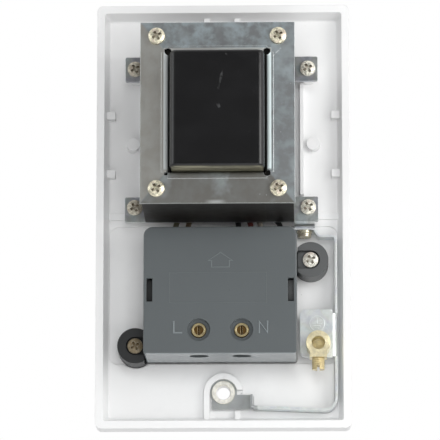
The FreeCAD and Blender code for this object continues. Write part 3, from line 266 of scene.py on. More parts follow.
class Signal:
    """A value on its way between two nodes, with arithmetic that adds the nodes."""

    def __init__(self, graph, socket):
        self.graph = graph
        self.socket = socket

    def maths(self, operation, *values):
        """One Math node."""
        return self.graph.node("ShaderNodeMath", {"operation": operation}, dict(enumerate(values)))

    def __add__(self, other):
        return self.maths("ADD", self, other)

    def __radd__(self, other):
        return self.maths("ADD", other, self)

    def __sub__(self, other):
        return self.maths("SUBTRACT", self, other)

    def __rsub__(self, other):
        return self.maths("SUBTRACT", other, self)

    def __mul__(self, other):
        return self.maths("MULTIPLY", self, other)

    def __rmul__(self, other):
        return self.maths("MULTIPLY", other, self)

    def __truediv__(self, other):
        return self.maths("DIVIDE", self, other)

    def __rtruediv__(self, other):
        return self.maths("DIVIDE", other, self)

    def __neg__(self):
        return self.maths("MULTIPLY", -1, self)

    def __abs__(self):
        return self.maths("ABSOLUTE", self)


class Graph:
    """A tree of nodes that is built one node at a time."""

    def __init__(self, tree):
        self.tree = tree
        self.tree.nodes.clear()

    def node(self, kind, settings, values, output=0):
        """Adds one node: its settings first, then the values or links of its sockets."""
        node = self.tree.nodes.new(kind)
        for name, setting in settings.items():
            if name == "stops":
                self.set_stops(node.color_ramp, setting)
            else:
                setattr(node, name, setting)
        for name, value in values.items():
            socket = node.inputs[name]
            if isinstance(value, Signal):
                self.tree.links.new(value.socket, socket)
            elif socket.type == "RGBA":
                socket.default_value = tuple(value)[:3] + (1,)
            else:
                socket.default_value = value
        if output is None:
            return None
        return Signal(self, node.outputs[output])

    def set_stops(self, ramp, stops):
        """Gives a colour ramp its positions and colours."""
        while len(ramp.elements) < len(stops):
            ramp.elements.new(0.5)
        for element, (position, colour) in zip(ramp.elements, stops):
            element.position = position
            element.color = tuple(colour) + (1,)


class Finish(Graph):
    """A material, with places on the object in millimetres."""

    def __init__(self, name):
        self.material = bpy.data.materials.new(name)
        self.material.use_nodes = True
        super().__init__(self.material.node_tree)
        coordinates = self.node("ShaderNodeTexCoord", {}, {}, "Object")
        self.place = self.node("ShaderNodeVectorMath", {"operation": "SCALE"},
                               {0: coordinates, "Scale": 1 / MM})
        self.x, self.y, self.z = [self.node("ShaderNodeSeparateXYZ", {}, {0: self.place}, axis)
                                  for axis in ("X", "Y", "Z")]

    def noise(self, size, detail=2.0, roughness=0.5, distortion=0.0, place=None):
        """Smooth noise whose blots are about size millimetres across."""
        return self.node("ShaderNodeTexNoise", {},
                         {"Vector": place or self.place, "Scale": 1 / size, "Detail": detail,
                          "Roughness": roughness, "Distortion": distortion})

    def stretched(self, x, y, z):
        """Places scaled along the axes, so that noise is drawn out where the scale is small."""
        return self.node("ShaderNodeVectorMath", {"operation": "MULTIPLY"}, {0: self.place, 1: (x, y, z)})

    def between(self, signal, low, high):
        """0 below low, 1 above high and smooth between them."""
        return self.node("ShaderNodeMapRange", {"interpolation_type": "SMOOTHSTEP"},
                         {"Value": signal, "From Min": low, "From Max": high})

    def mix(self, share, first, second, blend="MIX"):
        """The first colour, turned into the second by a share."""
        return self.node("ShaderNodeMix", {"data_type": "RGBA", "blend_type": blend},
                         {0: share, 6: first, 7: second}, 2)

    def spots(self, size, share):
        """Small scattered specks."""
        cells = self.node("ShaderNodeTexVoronoi", {"feature": "F1"},
                          {"Vector": self.place, "Scale": 1 / size, "Randomness": 1.0}, "Distance")
        return 1 - self.between(cells, share * 0.5, share)

    def waves(self, signal, pitch):
        """A ripple from 0 to 1 that repeats every pitch millimetres."""
        ripple = self.node("ShaderNodeMath", {"operation": "SINE"}, {0: signal * (2 * pi / pitch)})
        return ripple * 0.5 + 0.5

    def scratch(self, start, end, width):
        """1 on a slightly wavy line between two places, given by X and Z, and 0 off it."""
        run = sqrt((end[0] - start[0]) ** 2 + (end[1] - start[1]) ** 2)
        along_x, along_z = (end[0] - start[0]) / run, (end[1] - start[1]) / run
        along = (self.x - start[0]) * along_x + (self.z - start[1]) * along_z
        aside = (self.x - start[0]) * along_z - (self.z - start[1]) * along_x
        fade = 0.4
        wavy = aside + (self.noise(1.6, 2.0) - 0.5) * 0.9
        line = (1 - self.between(abs(wavy), width * 0.3, width)) * self.between(along, 0.0, fade)
        worn = self.between(self.noise(0.8, 2.0), 0.3, 0.6)
        return line * (1 - self.between(along, run - fade, run)) * worn

    def rounded(self, radius):
        """The surface's direction, eased over its edges."""
        return self.node("ShaderNodeBevel", {"samples": BEVEL_SAMPLES}, {"Radius": radius})

    def edge(self, radius):
        """Near 1 on an outer or inner edge and 0 on the open surface."""
        plain = self.node("ShaderNodeNewGeometry", {}, {}, "Normal")
        along = self.node("ShaderNodeVectorMath", {"operation": "DOT_PRODUCT"},
                          {0: self.rounded(radius), 1: plain}, "Value")
        return self.between(1 - along, 0.01, 0.16)

    def hollow(self, reach, own=False):
        """0 on the open surface and near 1 deep in a hollow, own for the hollows of the piece alone."""
        light = self.node("ShaderNodeAmbientOcclusion", {"samples": HOLLOW_SAMPLES, "only_local": own},
                          {"Distance": reach}, "AO")
        return 1 - light

    def bump(self, height, depth, normal):
        """Raised and sunk detail, depth millimetres from low to high."""
        return self.node("ShaderNodeBump", {}, {"Height": height, "Strength": 1.0, "Distance": depth * MM,
                                                "Normal": normal})

    def surface(self, **values):
        """The shader itself, which ends the finish."""
        sockets = {"colour": "Base Color", "roughness": "Roughness", "metallic": "Metallic",
                   "normal": "Normal", "specular": "Specular IOR Level", "coat": "Coat Weight",
                   "coat_roughness": "Coat Roughness"}
        inputs = {sockets[key]: value for key, value in values.items()}
        shader = self.node("ShaderNodeBsdfPrincipled", {}, inputs)
        self.node("ShaderNodeOutputMaterial", {}, {"Surface": shader}, None)
        return self.material


def scaled(colour, share):
    """A colour made darker or lighter."""
    return tuple(min(1.0, part * share) for part in colour)


def moulded_finish(name, colour, roughness, grain, depth, edge_light, dust, fade=0.0, under_gloss_and_light=0.0):
    """Moulded plastic with a fine spark-eroded grain, flow marks, and edges lightened by wear and by a
    painted highlight.

    fade paints light at the viewer's right, and shade at the left and in corners. The last argument gives the
    underside a gloss and paints light on it."""
    finish = Finish(name)
    sizes = bpy.context.scene.shaver_socket_sizes
    flow = finish.noise(size=26.0, detail=3.0, roughness=0.55, distortion=0.4)
    fine = finish.noise(size=grain, detail=4.0, roughness=0.65)
    pits = finish.between(fine, 0.35, 0.75) * 0.35
    specks = finish.spots(size=5.5, share=0.045) * dust
    shade = finish.mix(flow, scaled(colour, 0.93), scaled(colour, 1.05))
    shade = finish.mix(pits, shade, scaled(colour, 0.86))
    shade = finish.mix(specks, shade, scaled(colour, 0.55))
    # Painted light at the viewer's right, painted shade at the left and in corners
    if fade:
        painted_light_side = finish.between(-finish.x, 0, 20) * fade
        painted_shade_side = finish.between(finish.x, 5, 20) * fade
        corners = finish.between(finish.hollow(0.0028), 0.40, 0.75)
        shade = finish.mix(painted_light_side, shade, scaled(colour, 2.1))
        shade = finish.mix(painted_shade_side, shade, scaled(colour, 0.50))
        shade = finish.mix(corners, shade, scaled(colour, 0.12))
    under = 0.0
    # Painted light on the underside, which also gets a gloss
    if under_gloss_and_light:
        facing = finish.node("ShaderNodeNewGeometry", {}, {}, "Normal")
        under = finish.between(-finish.node("ShaderNodeSeparateXYZ", {}, {0: facing}, "Z"), 0.5, 0.9)
        shade = finish.mix(under * 0.8, shade, scaled(colour, 2.6))
    # Edges lightened as wear and as a painted highlight
    rubbed_and_lit_edges = finish.edge(sizes.edge_round * 1.6) * edge_light
    shade = finish.mix(rubbed_and_lit_edges, shade, scaled(colour, 1.5))
    normal = finish.bump(fine, depth, finish.rounded(sizes.edge_round))
    gloss = roughness + (flow - 0.5) * 0.10 + (fine - 0.5) * 0.12 - under * under_gloss_and_light
    return finish.surface(colour=shade, roughness=gloss, normal=normal, specular=0.42)


def tray_finish(name, colour):
    """White moulding with soft flow marks, faint sinks, pale clouds and specks of dust."""
    finish = Finish(name)
    sizes = bpy.context.scene.shaver_socket_sizes
    flow = finish.noise(size=34.0, detail=2.0, roughness=0.5, distortion=0.6)
    fine = finish.noise(size=0.5, detail=3.0, roughness=0.6)
    cloud = finish.between(finish.noise(size=9.0, detail=4.0, roughness=0.6), 0.52, 0.80) * 0.10
    specks = finish.spots(size=7.0, share=0.030) * 0.35
    shade = finish.mix(flow, scaled(colour, 0.96), scaled(colour, 1.02))
    shade = finish.mix(cloud, shade, GREY_CLOUD)
    shade = finish.mix(specks, shade, BROWN_DUST)
    sink = finish.noise(size=16.0, detail=1.0)
    grain = finish.bump(fine, 0.006, finish.rounded(sizes.edge_round * 1.4))
    normal = finish.bump(sink, 0.05, grain)
    gloss = 0.36 + (flow - 0.5) * 0.12 + (fine - 0.5) * 0.08
    return finish.surface(colour=shade, roughness=gloss, normal=normal, specular=0.45)


def cover_zinc_finish(name, colours, middle, half_size, window):
    """Zinc plate on the clamp cover, mottled and scuffed, with painted light on its left side, painted shade
    on its right and lower sides, and painted reflections on its lips.

    window holds the middle and the half sizes of the opening, all in millimetres."""
    finish = Finish(name)
    across = (finish.x - middle[0]) / half_size[0]
    up = (finish.z - middle[1]) / half_size[1]
    blur = 0.02
    left = finish.between(across - abs(up), -blur, blur)
    lower = finish.between(-up - abs(across), -blur, blur)
    right = finish.between(-across - abs(up), -blur, blur)
    mottle = finish.noise(size=3.4, detail=4.0, roughness=0.58, distortion=0.15)
    cloud = finish.noise(size=9.0, detail=3.0, roughness=0.5, distortion=0.2)
    streak = finish.noise(size=2.4, detail=3.0, roughness=0.6, place=finish.stretched(1.0, 1.0, 0.18))
    grain = finish.noise(size=0.45, detail=2.0)

    patches = finish.between(mottle, 0.34, 0.70)
    shade = finish.mix(patches, scaled(colours.zinc, 0.78), colours.zinc_cool)
    # Painted light on the left side, and painted shade on the right and lower sides
    shade = finish.mix(left * 0.75, shade, scaled(colours.zinc_side_light_and_shade, 1.10))
    shade = finish.mix(right * 0.50, shade, scaled(colours.zinc, 0.58))
    shade = finish.mix(lower * 0.85, shade, scaled(colours.zinc_side_light_and_shade, 0.45))
    bloom = finish.between(cloud, 0.50, 0.74) * (1 - left) * 0.40
    shade = finish.mix(bloom, shade, scaled(colours.zinc_cool, 1.30))
    shade = finish.mix(finish.between(streak, 0.56, 0.78) * 0.22, shade, scaled(colours.zinc, 0.55))
    shade = finish.mix(finish.spots(size=2.6, share=0.075) * 0.45, shade, SPANGLED_ZINC)

    scrape = finish.scratch(*COVER_SCRAPE, COVER_SCRAPE_WIDTH)
    rub_across = 1 - finish.between(abs(finish.x - COVER_RUB[0]), 0.5, 4.2)
    rub_up = 1 - finish.between(abs(finish.z - COVER_RUB[1]), 0.1, 1.0)
    shade = finish.mix(scrape * 0.55 + rub_across * rub_up * 0.40, shade, SCUFFED_ZINC)
    edge = finish.edge(0.00030)
    shade = finish.mix(edge * 0.75, shade, SCUFFED_ZINC)

    window_x, window_z, half_width, half_height = window
    lips = finish.between(abs(finish.x - window_x) - half_width, 0.5, 0.1)
    lips = lips * finish.between(abs(finish.z - window_z) - half_height, 0.5, 0.1)
    lips = lips * finish.between(finish.z - window_z + half_height, 1.6, 2.6)
    # Painted reflections on the lips round the window, bright at the viewer's right and shaded at the left,
    # with painted shade on the upper lip
    lit = finish.between(window_x - finish.x, -2.0, 2.0)
    upper = finish.between(finish.z - window_z - half_height, -1.5, -0.9)
    shade = finish.mix(lips * 0.95, shade, finish.mix(lit, SHADED_LIP, LIT_LIP))
    shade = finish.mix(lips * upper * 0.85, shade, SHADED_UPPER_LIP)

    normal = finish.bump(mottle * 0.5 + grain * 0.5, 0.010, finish.rounded(0.00026))
    gloss = 0.36 + mottle * 0.18 - edge * 0.12 - lips * 0.14
    return finish.surface(colour=shade, roughness=gloss, metallic=0.78 - lips * 0.66, normal=normal)


def zinc_finish(name, colour, tint, gloss, shadow=0.0, metal=0.85, relief=0.006, painted_tab_shade=0.0):
    """Plated sheet with faint rainbow tints, fine grain and bright sheared edges.

    The last argument paints shade on the strap's tab at the lower fixing hole."""
    finish = Finish(name)
    mottle = finish.noise(size=2.8, detail=4.0, roughness=0.62, distortion=0.6)
    grain = finish.noise(size=0.35, detail=2.0)
    rolled = finish.noise(size=0.8, detail=2.0, place=finish.stretched(0.2, 1.0, 1.6))
    hue = finish.noise(size=5.5, detail=1.0, roughness=0.4, distortion=0.3)
    rainbow = finish.node("ShaderNodeValToRGB", {"stops": RAINBOW}, {"Fac": hue})
    shade = finish.mix(finish.between(mottle, 0.36, 0.68), scaled(colour, 0.86 - shadow), colour)
    shade = finish.mix(tint, shade, rainbow, "SOFT_LIGHT")
    # Painted shade on the strap's tab
    if painted_tab_shade:
        on_tab = finish.between(finish.x, *STRAP_TAB_X) * finish.between(-finish.z, *STRAP_TAB_DEPTH)
        shade = finish.mix(on_tab * painted_tab_shade, shade, scaled(colour, 0.30))
    shade = finish.mix(finish.edge(0.00030) * 0.6, shade, SHEARED_ZINC)
    normal = finish.bump(mottle * 0.4 + grain * 0.3 + rolled * 0.5, relief, finish.rounded(0.00024))
    return finish.surface(colour=shade, roughness=gloss + mottle * 0.18, metallic=metal, normal=normal)


def screw_finish(name, colour, darkening, painted_left_shade=0.0, metal=0.72):
    """Zinc plate on a pressed head, darkened in its cross, with a worn rim.

    The fourth argument paints shade on the heads at the viewer's left."""
    finish = Finish(name)
    mottle = finish.noise(size=0.9, detail=4.0, roughness=0.65, distortion=0.5)
    hue = finish.noise(size=1.6, detail=1.0)
    sunk = finish.between(finish.hollow(0.0011, own=True), 0.28, 0.72)
    shade = finish.mix(finish.between(mottle, 0.40, 0.60), scaled(colour, 0.50), colour)
    shade = finish.mix(finish.between(hue, 0.52, 0.68) * 0.5, shade, COPPERY_ZINC)
    # Darkened in the hollows of the head
    shade = finish.mix(sunk * 0.85, shade, darkening)
    # Painted shade on the heads at the viewer's left
    if painted_left_shade:
        shade = finish.mix(finish.between(finish.x, -5, 5) * painted_left_shade, shade, scaled(darkening, 1.6))
    rim = finish.edge(0.00018) * (1 - sunk) * 0.6
    shade = finish.mix(rim, shade, RUBBED_SCREW)
    normal = finish.bump(mottle, 0.055, finish.rounded(0.00022))
    gloss = 0.27 + mottle * 0.16 + sunk * 0.3
    return finish.surface(colour=shade, roughness=gloss, metallic=metal, normal=normal)


def brass_finish(name, colour, tarnish, rings=None, threads=None, metal=0.72):
    """Machined brass with tarnish in its hollows and bright edges.

    rings is the middle of turned tool marks, by X and Z. threads is the axis of a screw's thread."""
    finish = Finish(name)
    sizes = bpy.context.scene.shaver_socket_sizes
    mottle = finish.noise(size=1.4, detail=3.0, roughness=0.6, distortion=0.4)
    sunk = finish.between(finish.hollow(0.0022), 0.30, 0.90)
    shade = finish.mix(finish.between(mottle, 0.36, 0.68), scaled(colour, 0.78), colour)
    shade = finish.mix(sunk * 0.8, shade, tarnish)
    rim = finish.edge(0.00022) * (1 - sunk) * 0.55
    shade = finish.mix(rim, shade, RUBBED_BRASS)
    relief = mottle * 0.3
    if rings:
        centre = (rings[0], 0, rings[1])
        flat = finish.node("ShaderNodeCombineXYZ", {}, {"X": finish.x, "Z": finish.z})
        away = finish.node("ShaderNodeVectorMath", {"operation": "DISTANCE"}, {0: flat, 1: centre}, "Value")
        relief = relief + finish.waves(away, TOOL_MARK_PITCH)
    if threads:
        relief = relief + finish.waves(getattr(finish, threads), sizes.thread_pitch / MM) * 4
    normal = finish.bump(relief, 0.03, finish.rounded(0.00020))
    gloss = 0.24 + mottle * 0.16 + sunk * 0.2
    return finish.surface(colour=shade, roughness=gloss, metallic=metal, normal=normal)


def varnish_finish(name, colour, streak_colour):
    """Black varnish over stacked sheets, pooled and streaked, with bare sheet edges in places."""
    finish = Finish(name)
    sizes = bpy.context.scene.shaver_socket_sizes
    sheets = finish.waves(finish.y, sizes.lamination / MM)
    pooled = finish.noise(size=6.0, detail=4.0, roughness=0.6, distortion=0.5)
    streak = finish.noise(size=3.0, detail=4.0, roughness=0.62, place=finish.stretched(1.0, 0.10, 1.0))
    bare = finish.between(finish.noise(size=4.0, detail=2.0), 0.30, 0.62)
    gaps = (1 - sheets) * bare * 0.60
    ridges = finish.between(sheets, 0.80, 1.0) * bare * 0.35
    shade = finish.mix(finish.between(streak, 0.52, 0.80) * 0.55, colour, streak_colour)
    shade = finish.mix(finish.between(pooled, 0.45, 0.75) * 0.35, shade, scaled(colour, 0.4))
    shade = finish.mix(finish.edge(0.00035) * 0.30, shade, scaled(streak_colour, 2.6))
    shade = finish.mix(gaps, shade, scaled(colour, 0.15))
    shade = finish.mix(ridges, shade, scaled(streak_colour, 1.5))
    normal = finish.bump(sheets * bare + streak * 0.8, 0.050, finish.rounded(0.00030))
    gloss = 0.40 + pooled * 0.22
    return finish.surface(colour=shade, roughness=gloss, normal=normal, specular=0.35, coat=0.12,
                          coat_roughness=0.3)


def tape_finish(name, colour, side_colour, lower_z, marks):
    """Glossy black tape, stretched tight, with an olive lower side, dust and a few marks."""
    finish = Finish(name)
    ripple = finish.noise(size=8.0, detail=3.0, distortion=0.3, place=finish.stretched(0.55, 1.0, 1.0))
    fine = finish.noise(size=0.9, detail=3.0, roughness=0.6)
    strands = finish.noise(size=1.5, detail=3.0, roughness=0.6, place=finish.stretched(0.12, 1.0, 1.0))
    # The coil's lower side is olive and lighter than the tape
    low = 1 - finish.between(finish.z, lower_z + 0.05, lower_z + 0.55)
    lower_side_tone = finish.mix(finish.between(strands, 0.42, 0.62), scaled(side_colour, 0.55),
                      scaled(side_colour, 1.25))
    shade = finish.mix(finish.between(ripple, 0.40, 0.75) * 0.5, colour, scaled(colour, 2.0))
    shade = finish.mix(low, shade, lower_side_tone)
    shade = finish.mix(finish.spots(size=3.4, share=0.045) * 0.35, shade, PALE_DUST)
    for start, end, width, strength in marks:
        shade = finish.mix(finish.scratch(start, end, width) * strength, shade, TAPE_WEAR)
    normal = finish.bump(ripple, 0.10, finish.bump(fine, 0.003, finish.rounded(0.0004)))
    gloss = 0.19 + fine * 0.10 + low * 0.22
    return finish.surface(colour=shade, roughness=gloss, normal=normal, specular=0.42, coat=0.12,
                          coat_roughness=0.12)


def wound_finish(name, colour):
    """Enamelled wire laid side by side in layers."""
    finish = Finish(name)
    wires = finish.waves(finish.x, WIRE_PITCH)
    wander = finish.noise(size=2.0, detail=2.0)
    shade = finish.mix(wires, scaled(colour, 0.45), colour)
    shade = finish.mix(finish.between(wander, 0.45, 0.7) * 0.4, shade, scaled(colour, 0.7))
    normal = finish.bump(wires, 0.12, finish.rounded(0.0003))
    return finish.surface(colour=shade, roughness=0.22 + wander * 0.2, metallic=0.8, normal=normal)


def lead_finish(name, colour):
    """Soft insulation with a slight bloom and a gently uneven skin."""
    finish = Finish(name)
    skin = finish.noise(size=0.8, detail=3.0, roughness=0.6)
    bloom = finish.noise(size=3.0, detail=2.0)
    shade = finish.mix(finish.between(bloom, 0.4, 0.7) * 0.5, colour, scaled(colour, 1.5))
    shade = finish.mix(finish.between(skin, 0.5, 0.8) * 0.3, shade, scaled(colour, 0.6))
    normal = finish.bump(skin, 0.02, finish.rounded(0.0001))
    return finish.surface(colour=shade, roughness=0.34 + skin * 0.15, normal=normal, specular=0.4)


def dress(finish, *nodes):
    """Gives CAD nodes their finish."""
    for node in nodes:
        for slot in frame["nodes"][node].material_slots:
            slot.material = finish


def middle_of(node):
    """The middle of a CAD node, in millimetres."""
    low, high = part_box(node)
    return (Vector(low) + Vector(high)) / 2 / MM


def half_size_of(node):
    """Half a CAD node's width and height, in millimetres."""
    low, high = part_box(node)
    return (high[0] - low[0]) / 2 / MM, (high[2] - low[2]) / 2 / MM


def shortening_spring(name, node, joint, finish):
    """Stands for a spring's CAD node with a copy of its mesh in the given finish."""
    low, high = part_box(node)
    source = frame["nodes"][node]
    mesh = source.data.copy()
    mesh.transform(source.matrix_world)
    mesh.materials.clear()
    mesh.materials.append(finish)
    spring = bpy.data.objects.new(name, mesh)
    bpy.context.scene.collection.objects.link(spring)
    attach(spring, UNIT)
    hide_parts(node)
    travel = next(entry["range_m"][1] for entry in frame["joints"] if entry["name"] == joint)
    1 - travel / (high[0] - low[0])
    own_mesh(spring)


def section_at(points, index, closed, width):
    """Where a stroke's section lies at one of its points, mitred, each place with its share of the height."""
    point = points[index]
    last = len(points) - 1
    before = points[index - 1] if index or closed else None
    after = points[(index + 1) % len(points)] if index < last or closed else None
    into = (point - before).normalized() if before is not None else (after - point).normalized()
    out = (after - point).normalized() if after is not None else into
    along = into + out
    along = along.normalized() if along.length > 0.01 else into
    aside = Vector((-along.y, along.x))
    spread = min(1 / max(abs(along.dot(into)), MITRE_LEAST), MITRE_MOST)
    cap = 0.0
    if not closed and index == 0:
        cap = -width * 0.5
    if not closed and index == last:
        cap = width * 0.5
    return [(point + aside * (width * side * spread) + into * (cap * (1 - 0.5 * lift)), lift)
            for side, lift in RIDGE_SECTION]


def ridge(name, strokes, width, height, level, finish):
    """A raised mark of strokes with a tapered section, on a face that looks to +Y."""
    mesh = bpy.data.meshes.new(name)
    form = bmesh.new()
    for points, closed in strokes:
        flat = [Vector(point) for point in points]
        rings = []
        for index in range(len(flat)):
            ring = []
            for at, lift in section_at(flat, index, closed, width):
                sunk = RIDGE_SUNK if lift == 0 else 0.0
                ring.append(form.verts.new((at.x, level + height * lift - sunk, at.y)))
            rings.append(ring)
        pairs = list(zip(rings, rings[1:]))
        if closed:
            pairs.append((rings[-1], rings[0]))
        for first, second in pairs:
            for side in range(len(RIDGE_SECTION) - 1):
                form.faces.new((first[side], first[side + 1], second[side + 1], second[side]))
        if not closed:
            form.faces.new(rings[0][::-1])
            form.faces.new(rings[-1])
    bmesh.ops.recalc_face_normals(form, faces=form.faces)
    form.to_mesh(mesh)
    form.free()
    mesh.materials.append(finish)
    piece = bpy.data.objects.new(name, mesh)
    bpy.context.scene.collection.objects.link(piece)
    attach(piece, UNIT)


def seen_from_behind(points, middle):
    """Points drawn as they read from the wiring side, placed on the object in metres."""
    return [((middle[0] - x) * MM, (middle[1] + z) * MM) for x, z in points]


def lamp(name, place, size, power, colour, mirrored):
    """A soft square lamp aimed at the object, which shiny faces show unless mirrored is off."""
    light = bpy.data.lights.new(name, "AREA")
    light.shape = "SQUARE"
    light.size = size
    light.energy = power
    light.color = colour
    piece = bpy.data.objects.new(name, light)
    piece.location = place
    piece.rotation_euler = (Vector(LAMP_TARGET) - Vector(place)).to_track_quat("-Z", "Y").to_euler()
    piece.visible_camera = False
    piece.visible_glossy = mirrored
    bpy.context.scene.collection.objects.link(piece)


class MakeTray(bpy.types.Operator):
    """Finish the moulded tray and the outlet face"""

    bl_idname = "shaver_socket.make_tray"
    bl_label = "Tray and Outlet Face"

    def execute(self, context):
        colours = context.scene.shaver_socket_colours
        dress(tray_finish("white_tray_moulding", colours.tray), "front_plate")
        dress(tray_finish("outlet_face_moulding", colours.insert), "outlet_insert")
        return {"FINISHED"}


class MakeHousing(bpy.types.Operator):
    """Finish the socket housing"""

    bl_idname = "shaver_socket.make_housing"
    bl_label = "Socket Housing"

    def execute(self, context):
        colours = context.scene.shaver_socket_colours
        # The cover's underside gets painted light
        cover = moulded_finish("housing_cover_moulding", colours.cover, roughness=0.38, grain=0.35,
                               depth=0.012, edge_light=0.30, dust=0.5, under_gloss_and_light=0.24)
        # The base gets painted light at the viewer's right and painted shade at the left and in its corners
        base = moulded_finish("housing_base_moulding", colours.base, roughness=0.42, grain=0.40, depth=0.016,
                              edge_light=0.25, dust=0.4, fade=0.9)
        dress(cover, "housing_cover")
        dress(base, "housing_base")
        return {"FINISHED"}


class MakeHousingMarks(bpy.types.Operator):
    """Raise the letters, the house outline and the blank field on the housing cover"""

    bl_idname = "shaver_socket.make_housing_marks"
    bl_label = "Housing Marks"

    def execute(self, context):
        sizes = context.scene.shaver_socket_sizes
        colour = context.scene.shaver_socket_colours.cover
        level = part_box("housing_cover")[1][1]
        # Lighter copies of the cover's grey: painted highlights on the raised outlines and letters
        faint = moulded_finish("raised_outline_moulding", scaled(colour, 1.15), roughness=0.42, grain=0.35,
                               depth=0.012, edge_light=0.3, dust=0.2)
        worn = moulded_finish("worn_outline_moulding", scaled(colour, 1.55), roughness=0.40, grain=0.35,
                              depth=0.012, edge_light=0.4, dust=0.2)
        bright = moulded_finish("raised_mark_moulding", scaled(colour, 1.95), roughness=0.36, grain=0.35,
                                depth=0.012, edge_light=0.6, dust=0.2)
        ridge("house_outline", [(seen_from_behind(HOUSE, HOUSE_MIDDLE), True)], sizes.outline_width,
              sizes.outline_height, level, worn)
        ridge("blank_field_outline", [(seen_from_behind(FIELD, FIELD_MIDDLE), True)],
              sizes.outline_width * 0.8, sizes.outline_height * 0.7, level, faint)
        tall = sizes.letter_height / MM / 2
        wide = LIVE_HALF_WIDTH
        live = [(-wide, tall), (-wide, -tall), (wide, -tall)]
        wide = NEUTRAL_HALF_WIDTH
        neutral = [(-wide, -tall), (-wide, tall), (wide, -tall), (wide, tall)]
        for name, points, middle in (("live_letter", live, LIVE_MIDDLE),
                                     ("neutral_letter", neutral, NEUTRAL_MIDDLE)):
            ridge(name, [(seen_from_behind(points, middle), False)], sizes.mark_width, sizes.mark_height,
                  level, bright)
        return {"FINISHED"}


class MakeTerminals(bpy.types.Operator):
    """Finish the terminals, their screws and the outlet contacts"""

    bl_idname = "shaver_socket.make_terminals"
    bl_label = "Terminals and Contacts"

    def execute(self, context):
        colours = context.scene.shaver_socket_colours
        for node in ("live_terminal", "neutral_terminal"):
            middle = middle_of(node)
            dress(brass_finish(node + "_brass", scaled(colours.brass, 0.62), colours.dark_brass,
                               rings=(middle.x, middle.z), metal=0.9), node)
        screw = brass_finish("terminal_screw_brass", scaled(colours.dark_brass, 0.8), TERMINAL_DIRT,
                             threads="y", metal=0.9)
        contact = brass_finish("contact_brass", colours.brass, scaled(colours.brass, 0.35))
        dress(screw, "terminal_screws")
        dress(contact, "outlet_contact_1", "outlet_contact_2", "outlet_contact_3", "outlet_contact_4")
        return {"FINISHED"}


class MakeShutter(bpy.types.Operator):
    """Finish the shutter, its spring and the switch"""

    bl_idname = "shaver_socket.make_shutter"
    bl_label = "Shutter and Switch"

    def execute(self, context):
        colours = context.scene.shaver_socket_colours
        slide = moulded_finish("shutter_moulding", colours.shutter, roughness=0.40, grain=0.4, depth=0.012,
                               edge_light=0.15, dust=0.3)
        body = moulded_finish("switch_moulding", colours.base, roughness=0.38, grain=0.4, depth=0.014,
                              edge_light=0.25, dust=0.3)
        plunger = moulded_finish("plunger_moulding", colours.plunger, roughness=0.35, grain=0.4, depth=0.010,
                                 edge_light=0.2, dust=0.1)
        dress(slide, "shutter_slide")
        dress(body, "switch_body")
        dress(plunger, "switch_plunger")
        wire = zinc_finish("spring_wire", colours.spring, tint=0.1, gloss=0.16)
        shortening_spring("return_spring", "shutter_spring", "shutter_travel", wire)
        return {"FINISHED"}


class MakeCore(bpy.types.Operator):
    """Finish the laminations of the core"""

    bl_idname = "shaver_socket.make_core"
    bl_label = "Core Laminations"

    def execute(self, context):
        colours = context.scene.shaver_socket_colours
        dress(varnish_finish("varnished_e_sheets", colours.varnish, colours.e_streak), "core_e_stack")
        dress(varnish_finish("varnished_i_sheets", scaled(colours.varnish, 0.9), colours.i_streak),
              "core_i_stack")
        return {"FINISHED"}


class MakeCoil(bpy.types.Operator):
    """Finish the coil's tape, bobbin, windings and thermal cut-out"""

    bl_idname = "shaver_socket.make_coil"
    bl_label = "Coil"

    def execute(self, context):
        colours = context.scene.shaver_socket_colours
        lower_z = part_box("coil_tape")[0][2] / MM
        bobbin = moulded_finish("bobbin_moulding", colours.bobbin, roughness=0.5, grain=0.5, depth=0.02,
                                edge_light=0.2, dust=0.2)
        dress(tape_finish("black_coil_tape", colours.tape, colours.tape_end, lower_z, TAPE_MARKS),
              "coil_tape")
        dress(bobbin, "bobbin")
        dress(wound_finish("primary_wire", colours.copper), "primary_winding")
        dress(wound_finish("secondary_wire", scaled(colours.copper, 0.8)), "secondary_winding")
        dress(lead_finish("cut_out_sleeve", scaled(colours.black, 1.4)), "thermal_cutout")
        return {"FINISHED"}


class MakeClampPlates(bpy.types.Operator):
    """Finish the clamp cover and the feet plate"""

    bl_idname = "shaver_socket.make_clamp_plates"
    bl_label = "Clamp Cover and Feet Plate"

    def execute(self, context):
        colours = context.scene.shaver_socket_colours
        middle = middle_of("top_cover")
        coil = middle_of("coil_tape")
        half_width, half_height = half_size_of("coil_tape")
        window = (coil.x, coil.z, half_width + LIP_REACH[0], half_height + LIP_REACH[1])
        cover = cover_zinc_finish("mottled_cover_zinc", colours, (middle.x, middle.z),
                                  half_size_of("top_cover"), window)
        dress(cover, "top_cover")
        dress(zinc_finish("feet_plate_zinc", scaled(colours.zinc, 1.35), tint=0.25, gloss=0.30, shadow=0.1),
              "feet_plate")
        return {"FINISHED"}


class MakeFasteners(bpy.types.Operator):
    """Finish the screws and nuts"""

    bl_idname = "shaver_socket.make_fasteners"
    bl_label = "Screws and Nuts"

    def execute(self, context):
        colours = context.scene.shaver_socket_colours
        dress(screw_finish("core_screw_zinc", colours.screw, SCREW_DARKENING), "core_screws")
        # Painted shade on the foot and ear screws at the viewer's left
        dress(screw_finish("foot_screw_zinc", colours.foot_screw, SCREW_DARKENING, painted_left_shade=0.45, metal=0.32),
              "feet_screws")
        dress(screw_finish("ear_screw_zinc", colours.ear_screw, SCREW_DARKENING, painted_left_shade=0.90, metal=0.22),
              "housing_screws")
        dress(zinc_finish("nut_zinc", scaled(colours.screw, 0.8), tint=0.2, gloss=0.28), "core_nuts")
        return {"FINISHED"}


